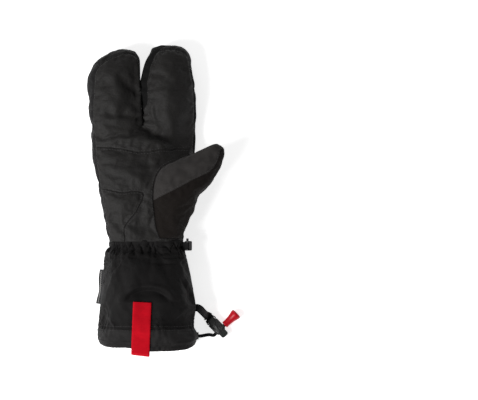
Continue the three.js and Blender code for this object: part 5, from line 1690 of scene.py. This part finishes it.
class MITT_OT_drawcord(bpy.types.Operator):
    """Two strands of the doubled drawcord, and the red end that holds them"""

    bl_idname = "mitt.drawcord"
    bl_label = "Drawcord and its end"

    def execute(self, context):
        end = self.cord_end()
        for name, side in (("drawcord_upper", 1), ("drawcord_lower", -1)):
            points = to_frame(cord_strand(side))
            curve = bpy.data.curves.new(name + "_cord", "CURVE")
            curve.dimensions = "3D"
            curve.bevel_depth = CORD_DIAMETER / 2 * MM
            curve.bevel_resolution = 6
            curve.use_fill_caps = True
            spline = curve.splines.new("POLY")
            spline.points.add(len(points) - 1)
            spline.points.foreach_set("co", np.column_stack([points, np.ones(len(points))]).ravel())
            spline.use_smooth = True
            curve.materials.append(cord_material())
            cord = in_scene(name + "_cord", curve)
            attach(cord, "mitt")
            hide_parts(name)
        return {"FINISHED"}

    def cord_end(self):
        """The red handle: a turned form given as shares of its length with the radius (mm) at each."""
        profile = (
            (0.0, 2.9), (0.005, 3.5), (0.02, 3.85), (0.05, 4.0), (0.09, 4.0), (0.12, 3.85), (0.2, 3.9),
            (0.35, 4.1), (0.47, 4.4), (0.58, 4.8), (0.68, 5.3), (0.77, 5.75), (0.83, 5.98),
            (0.88, CORD_END_RADIUS), (0.915, 5.8), (0.935, 5.4), (0.94, 4.9), (0.93, 4.4), (0.91, 3.9),
            (0.9, 3.0), (0.895, 1.5), (0.894, 0.3),
        )
        count = 64
        angle = 2 * math.pi * np.arange(count) / count
        rings = []
        for along, radius in profile:
            y = np.full(count, along * CORD_END_LENGTH)
            rings.append(np.column_stack([radius * np.cos(angle), y, radius * np.sin(angle)]))
        rings = np.array(rings)
        c, e = math.cos(end_rise()), math.sin(end_rise())
        x, y, z = np.moveaxis(rings, -1, 0)
        turned = turned_by_lock(x, y * c - z * e, y * e + z * c)
        v, f = closed_loft(np.moveaxis(turned, 0, -1) + end_start())
        red = plastic_material("moulded_rubber", colours().rubber, 0.32, 0.28)
        return piece("cord_end_moulding", v, f, red, replaces=("cord_end",))


class MITT_OT_webbing(bpy.types.Operator):
    """Webbing of the lock and of the wrist clip"""

    bl_idname = "mitt.webbing"
    bl_label = "Webbing"

    def execute(self, context):
        s = sizes()
        root_y = -s.gauntlet_length * 0.595
        ply = (WEBBING_THICKNESS + WEBBING_CLEARANCE) / 2
        root = np.array([body_at(root_y)[2] + SEAM_GAP, root_y, SIDE_SEAM_HEIGHT])
        end_bar = LOCK_WIDTH / 2 - WEBBING_THICKNESS - 0.7
        near = end_bar + WEBBING_CLEARANCE + WEBBING_THICKNESS / 2
        slot = -LOCK_LENGTH / 2 + LOCK_END_BAR + 1.1
        path = smooth_path(
            [
                root + (-2.2, 0, ply),
                root + (1.6, -0.2, ply),
                root + (5.6, -2.6, ply - 1.4),
                root + (9.6, -6.6, -6.4),
                from_lock(-LOCK_LENGTH / 2 - 4.0, near * 0.3, 3.4),
                from_lock(-LOCK_LENGTH / 2 - 1.4, near * 0.5, 1.6),
                from_lock(-LOCK_LENGTH / 2 + 0.6, near * 0.94, 0.6),
                from_lock(slot - 0.2, near - 0.1, 0),
                from_lock(slot, 0, 0),
                from_lock(slot - 0.2, 0.1 - near, 0),
                from_lock(-LOCK_LENGTH / 2 + 0.6, -near * 0.94, 0.6),
                from_lock(-LOCK_LENGTH / 2 - 1.4, -near * 0.5, 1.2),
                from_lock(-LOCK_LENGTH / 2 - 4.0, -near * 0.3, 1.8),
                root + (8.8, -8.6, -11),
                root + (4.8, -3.6, -ply - 2.6),
                root + (1.6, -0.4, -ply),
                root + (-2.2, -0.2, -ply),
            ],
            150,
        )
        share = np.linspace(0, 1, len(path))
        flat = np.minimum(1, np.abs(share - 0.5) / 0.5)
        turn = np.clip((flat - 0.19) / 0.13, 0, 1)
        wide = np.column_stack([np.zeros(len(path)), turn, 1 - turn])
        size = (WEBBING_WIDTH, WEBBING_THICKNESS)
        tape("lock_webbing_tape", path, wide, size, webbing_material(), ("lock_webbing",))
        self.clip_webbing()
        return {"FINISHED"}

    def clip_webbing(self):
        bar_x, start = clip_bar_x(), body_at(0)[2] + SEAM_GAP
        hold, rise = 3.4, CLIP_THICKNESS / 2 + WEBBING_CLEARANCE + WEBBING_THICKNESS / 2
        upper = (
            (start, 0.5), (start + 0.6, 1.2), (bar_x - hold, rise), (bar_x, rise + 0.05),
            (bar_x + hold - 0.5, rise - 0.35),
        )
        lower = [(x, CLIP_PLACE, -z) for x, z in upper[::-1]]
        points = [(x, CLIP_PLACE, z) for x, z in upper] + [(bar_x + hold, CLIP_PLACE, 0)] + lower
        path = smooth_path(points, 70)
        path[:, 2] += SIDE_SEAM_HEIGHT
        wide = np.tile((0.0, 1.0, 0.0), (len(path), 1))
        size = (WEBBING_WIDTH + 0.7, WEBBING_THICKNESS)
        tape("clip_webbing_tape", path, wide, size, webbing_material(), ("clip_webbing",))


# Materials


def new_material(name):
    old = bpy.data.materials.get(name)
    if old:
        return old, None, None
    material = bpy.data.materials.new(name)
    material.use_nodes = True
    nodes = material.node_tree.nodes
    nodes.clear()
    out = nodes.new("ShaderNodeOutputMaterial")
    shader = nodes.new("ShaderNodeBsdfPrincipled")
    material.node_tree.links.new(shader.outputs["BSDF"], out.inputs["Surface"])
    return material, shader, material.node_tree


def node_group(name, inputs, outputs, build):
    """A shader node group made once: inputs are (name, kind, value), outputs (name, kind)."""
    group = bpy.data.node_groups.get(name)
    if group:
        return group
    group = bpy.data.node_groups.new(name, "ShaderNodeTree")
    for label, kind, value in inputs:
        socket = group.interface.new_socket(label, in_out="INPUT", socket_type=kind)
        socket.default_value = value
    for label, kind in outputs:
        group.interface.new_socket(label, in_out="OUTPUT", socket_type=kind)
    build(group, group.nodes.new("NodeGroupInput"), group.nodes.new("NodeGroupOutput"))
    return group


def link(tree, source, target):
    tree.links.new(source, target)


def math_node(tree, operation, a, b=None):
    node = tree.nodes.new("ShaderNodeMath")
    node.operation = operation
    for i, value in enumerate((a, b)):
        if value is None:
            continue
        if isinstance(value, (int, float)):
            node.inputs[i].default_value = value
        else:
            link(tree, value, node.inputs[i])
    return node.outputs[0]


def noise_at(tree, scale, detail=4.0, rough=0.5, stretch=None):
    place = tree.nodes.new("ShaderNodeTexCoord").outputs["Object"]
    if stretch:
        mapping = tree.nodes.new("ShaderNodeMapping")
        mapping.inputs["Scale"].default_value = stretch
        link(tree, place, mapping.inputs["Vector"])
        place = mapping.outputs["Vector"]
    noise = tree.nodes.new("ShaderNodeTexNoise")
    noise.inputs["Scale"].default_value = scale
    noise.inputs["Detail"].default_value = detail
    noise.inputs["Roughness"].default_value = rough
    link(tree, place, noise.inputs["Vector"])
    return noise.outputs["Fac"]


def build_weave(group, inlet, outlet):
    """Two sets of crossing threads, as a height between 0 and 1."""
    place = group.nodes.new("ShaderNodeTexCoord").outputs["Object"]
    sines = []
    for way in ((1, 0, 1), (0, 1, 0.2)):
        dot = group.nodes.new("ShaderNodeVectorMath")
        dot.operation = "DOT_PRODUCT"
        dot.inputs[1].default_value = way
        link(group, place, dot.inputs[0])
        turned = math_node(group, "MULTIPLY", dot.outputs["Value"], inlet.outputs["Threads per metre"])
        sines.append(math_node(group, "SINE", math_node(group, "MULTIPLY", turned, 2 * math.pi)))
    half = math_node(group, "MULTIPLY", math_node(group, "MULTIPLY", sines[0], sines[1]), 0.5)
    link(group, math_node(group, "ADD", half, 0.5), outlet.inputs["Height"])


def weave(tree, threads):
    group = tree.nodes.new("ShaderNodeGroup")
    inputs = [("Threads per metre", "NodeSocketFloat", 800.0)]
    group.node_tree = node_group("weave", inputs, [("Height", "NodeSocketFloat")], build_weave)
    group.inputs["Threads per metre"].default_value = threads
    return group.outputs["Height"]


def build_shade(group, inlet, outlet):
    """A base colour made lighter and darker by a mask and by slow patches."""
    patches = noise_at(group, 22.0, 3.0)
    swing = math_node(group, "MULTIPLY", math_node(group, "SUBTRACT", patches, 0.5), inlet.outputs["Patches"])
    even = math_node(group, "SUBTRACT", inlet.outputs["Mask"], 0.5)
    grain = math_node(group, "MULTIPLY", even, inlet.outputs["Contrast"])
    total = math_node(group, "ADD", math_node(group, "ADD", swing, grain), 1.0)
    scale = group.nodes.new("ShaderNodeVectorMath")
    scale.operation = "SCALE"
    link(group, inlet.outputs["Colour"], scale.inputs[0])
    link(group, total, scale.inputs["Scale"])
    link(group, scale.outputs["Vector"], outlet.inputs["Colour"])


def shade(tree, colour, mask, contrast, patches):
    group = tree.nodes.new("ShaderNodeGroup")
    inputs = [
        ("Colour", "NodeSocketColor", (0.5, 0.5, 0.5, 1)), ("Mask", "NodeSocketFloat", 0.5),
        ("Contrast", "NodeSocketFloat", 0.2), ("Patches", "NodeSocketFloat", 0.2),
    ]
    group.node_tree = node_group("shade", inputs, [("Colour", "NodeSocketColor")], build_shade)
    group.inputs["Colour"].default_value = (*colour, 1)
    group.inputs["Contrast"].default_value = contrast
    group.inputs["Patches"].default_value = patches
    link(tree, mask, group.inputs["Mask"])
    return group.outputs["Colour"]


def bump(tree, shader, height, distance, strength=1.0, under=None):
    node = tree.nodes.new("ShaderNodeBump")
    node.inputs["Distance"].default_value = distance
    node.inputs["Strength"].default_value = strength
    link(tree, height, node.inputs["Height"])
    if under is not None:
        link(tree, under, node.inputs["Normal"])
    link(tree, node.outputs["Normal"], shader.inputs["Normal"])
    return node.outputs["Normal"]


def leather_material(name, colour):
    material, shader, tree = new_material(name)
    if shader is None:
        return material
    grain = tree.nodes.new("ShaderNodeTexVoronoi")
    grain.inputs["Scale"].default_value = 900.0
    link(tree, tree.nodes.new("ShaderNodeTexCoord").outputs["Object"], grain.inputs["Vector"])
    fine = noise_at(tree, 420.0, 6.0, 0.65)
    height = math_node(tree, "ADD", math_node(tree, "MULTIPLY", grain.outputs["Distance"], 0.6), fine)
    creases = noise_at(tree, 60.0, 5.0, 0.6, (1.0, 2.2, 1.0))
    link(tree, shade(tree, colour, fine, 0.5, 0.35), shader.inputs["Base Color"])
    rough = math_node(tree, "ADD", math_node(tree, "MULTIPLY", fine, 0.2), 0.5)
    link(tree, rough, shader.inputs["Roughness"])
    shader.inputs["Specular IOR Level"].default_value = 0.16
    first = bump(tree, shader, creases, 0.0009)
    bump(tree, shader, height, 0.00025, 1.0, first)
    return material


def suede_material():
    material, shader, tree = new_material("napped_suede")
    if shader is None:
        return material
    fibre = noise_at(tree, 900.0, 8.0, 0.75)
    nap = noise_at(tree, 70.0, 5.0, 0.6, (1.0, 1.6, 1.0))
    link(tree, shade(tree, colours().suede, nap, 0.7, 0.3), shader.inputs["Base Color"])
    shader.inputs["Roughness"].default_value = 0.95
    shader.inputs["Specular IOR Level"].default_value = 0.1
    shader.inputs["Sheen Weight"].default_value = 0.1
    shader.inputs["Sheen Roughness"].default_value = 0.5
    shader.inputs["Sheen Tint"].default_value = (0.5, 0.48, 0.48, 1)
    bump(tree, shader, fibre, 0.0004)
    return material


def cloth_material(name, colour, rough, gloss=0.2, threads=1100.0):
    material, shader, tree = new_material(name)
    if shader is None:
        return material
    height = weave(tree, threads)
    slub = noise_at(tree, 260.0, 5.0, 0.6)
    link(tree, shade(tree, colour, slub, 0.35, 0.25), shader.inputs["Base Color"])
    shader.inputs["Roughness"].default_value = rough
    shader.inputs["Specular IOR Level"].default_value = gloss
    shader.inputs["Sheen Weight"].default_value = 0.015
    wrinkle = noise_at(tree, 45.0, 6.0, 0.6)
    first = bump(tree, shader, wrinkle, 0.0012)
    bump(tree, shader, height, 0.00018, 0.8, first)
    return material


def thread_material(name="sewing_thread", colour=(0.03, 0.029, 0.029), contrast=0.4, patches=0.2, rough=0.6):
    material, shader, tree = new_material(name)
    if shader is None:
        return material
    twist = noise_at(tree, 1500.0)
    link(tree, shade(tree, colour, twist, contrast, patches), shader.inputs["Base Color"])
    shader.inputs["Roughness"].default_value = rough
    return material


def pale_thread_material():
    return thread_material("pale_thread", (0.42, 0.41, 0.4), 0.5, 0.3, 0.7)


def ribbon_material():
    material, shader, tree = new_material("grosgrain_ribbon")
    if shader is None:
        return material
    ribs = rib_lines(tree, 1400.0)
    slub = noise_at(tree, 300.0, 5.0, 0.6)
    link(tree, shade(tree, colours().ribbon, slub, 0.3, 0.25), shader.inputs["Base Color"])
    shader.inputs["Roughness"].default_value = 0.7
    shader.inputs["Specular IOR Level"].default_value = 0.1
    bump(tree, shader, ribs, 0.0002)
    return material


def rib_lines(tree, lines):
    """Fine ribs across a ribbon that runs along the mitt, as a height."""
    place = tree.nodes.new("ShaderNodeTexCoord").outputs["Object"]
    split = tree.nodes.new("ShaderNodeSeparateXYZ")
    link(tree, place, split.inputs[0])
    turned = math_node(tree, "MULTIPLY", split.outputs["Y"], lines * 2 * math.pi)
    return math_node(tree, "ADD", math_node(tree, "MULTIPLY", math_node(tree, "SINE", turned), 0.5), 0.5)


def label_material():
    return cloth_material("folded_label", (0.02, 0.02, 0.021), 0.6, 0.2, 1600.0)


def webbing_material():
    return cloth_material("woven_webbing", (0.0085, 0.0085, 0.009), 0.72, 0.2, 620.0)


def cord_material():
    return cloth_material("braided_sheath", (0.011, 0.011, 0.012), 0.65, 0.2, 900.0)


def plastic_material(name, colour, rough, gloss=0.5):
    material, shader, tree = new_material(name)
    if shader is None:
        return material
    fine = noise_at(tree, 900.0, 3.0, 0.5)
    link(tree, shade(tree, colour, fine, 0.15, 0.15), shader.inputs["Base Color"])
    handled = math_node(tree, "MULTIPLY", noise_at(tree, 120.0, 4.0), 0.14)
    link(tree, math_node(tree, "ADD", handled, rough - 0.07), shader.inputs["Roughness"])
    shader.inputs["Specular IOR Level"].default_value = gloss
    bump(tree, shader, fine, 0.00006)
    return material


# Stage


class MITT_OT_stage(bpy.types.Operator):
    """Pale floor, soft studio light and the camera straight above"""

    bl_idname = "mitt.stage"
    bl_label = "Stage"

    def execute(self, context):
        scene = context.scene
        photo_width, photo_height = 478, 400
        wrist_pixel_x, wrist_pixel_y, mm_a_pixel = 142.25, 247.0, 1.1
        lens, sensor = 200.0, 36.0
        aim_x = ((photo_width / 2 - wrist_pixel_x) * mm_a_pixel + WRIST_X) * MM
        aim_y = ((wrist_pixel_y - photo_height / 2) * mm_a_pixel + WRIST_Y) * MM
        distance = photo_width * mm_a_pixel * MM * lens / sensor
        level = 0.026
        data = bpy.data.cameras.new("camera")
        data.lens = lens
        data.sensor_width = sensor
        data.clip_end = 20
        camera = in_scene("camera", data)
        camera.location = (aim_x, aim_y, distance + level)
        scene.camera = camera
        middle = Vector((WRIST_X * MM, WRIST_Y * MM, 0))
        self.light("key", middle + Vector((-1.15, -0.6, 1.4)), middle, 0.8, 39.5)
        self.light("fill", middle + Vector((-0.3, 1.5, 1.5)), middle, 1.2, 3.0)
        world = bpy.data.worlds.new("studio")
        world.use_nodes = True
        world.node_tree.nodes["Background"].inputs["Color"].default_value = (1, 1, 1, 1)
        world.node_tree.nodes["Background"].inputs["Strength"].default_value = 0.2
        scene.world = world
        scene.view_settings.view_transform = "Standard"
        mesh = raw_mesh("floor", [(-6, -6, 0), (6, -6, 0), (6, 6, 0), (-6, 6, 0)], [(0, 1, 2, 3)])
        floor = in_scene("floor", mesh)
        material, shader, _ = new_material("floor_paint")
        if shader is not None:
            shader.inputs["Base Color"].default_value = (*colours().floor, 1)
            shader.inputs["Roughness"].default_value = 0.9
            shader.inputs["Emission Color"].default_value = (1, 1, 1, 1)
            shader.inputs["Emission Strength"].default_value = 0.72
        mesh.materials.append(material)
        return {"FINISHED"}

    def light(self, name, place, aim, size, power):
        data = bpy.data.lights.new(name, "AREA")
        data.size = size
        data.energy = power
        lamp = in_scene(name, data)
        lamp.location = place
        lamp.rotation_euler = (aim - place).to_track_quat("-Z", "Y").to_euler()


class MITT_PT_panel(bpy.types.Panel):
    """Lists the mitt's steps and sizes"""

    bl_idname = "MITT_PT_panel"
    bl_label = "Mitt"
    bl_space_type = "VIEW_3D"
    bl_region_type = "UI"
    bl_category = "Mitt"

    def draw(self, context):
        for step in STEPS:
            self.layout.operator(step.bl_idname)
        for group in (context.scene.mitt_sizes, context.scene.mitt_colours):
            for key in group.__annotations__:
                self.layout.prop(group, key)


STEPS = (
    MITT_OT_stage, MITT_OT_drawcord, MITT_OT_hand, MITT_OT_gauntlet, MITT_OT_pull_tab, MITT_OT_label,
    MITT_OT_webbing, MITT_OT_hardware,
)
CLASSES = (MittSizes, MittColours, *STEPS, MITT_PT_panel)


def register():
    for cls in CLASSES:
        bpy.utils.register_class(cls)
    bpy.types.Scene.mitt_sizes = PointerProperty(type=MittSizes)
    bpy.types.Scene.mitt_colours = PointerProperty(type=MittColours)


def unregister():
    del bpy.types.Scene.mitt_colours
    del bpy.types.Scene.mitt_sizes
    for cls in reversed(CLASSES):
        bpy.utils.unregister_class(cls)


def main():
    register()
    for step in STEPS:
        category, name = step.bl_idname.split(".")
        getattr(getattr(bpy.ops, category), name)()


if __name__ == "__main__":
    main()
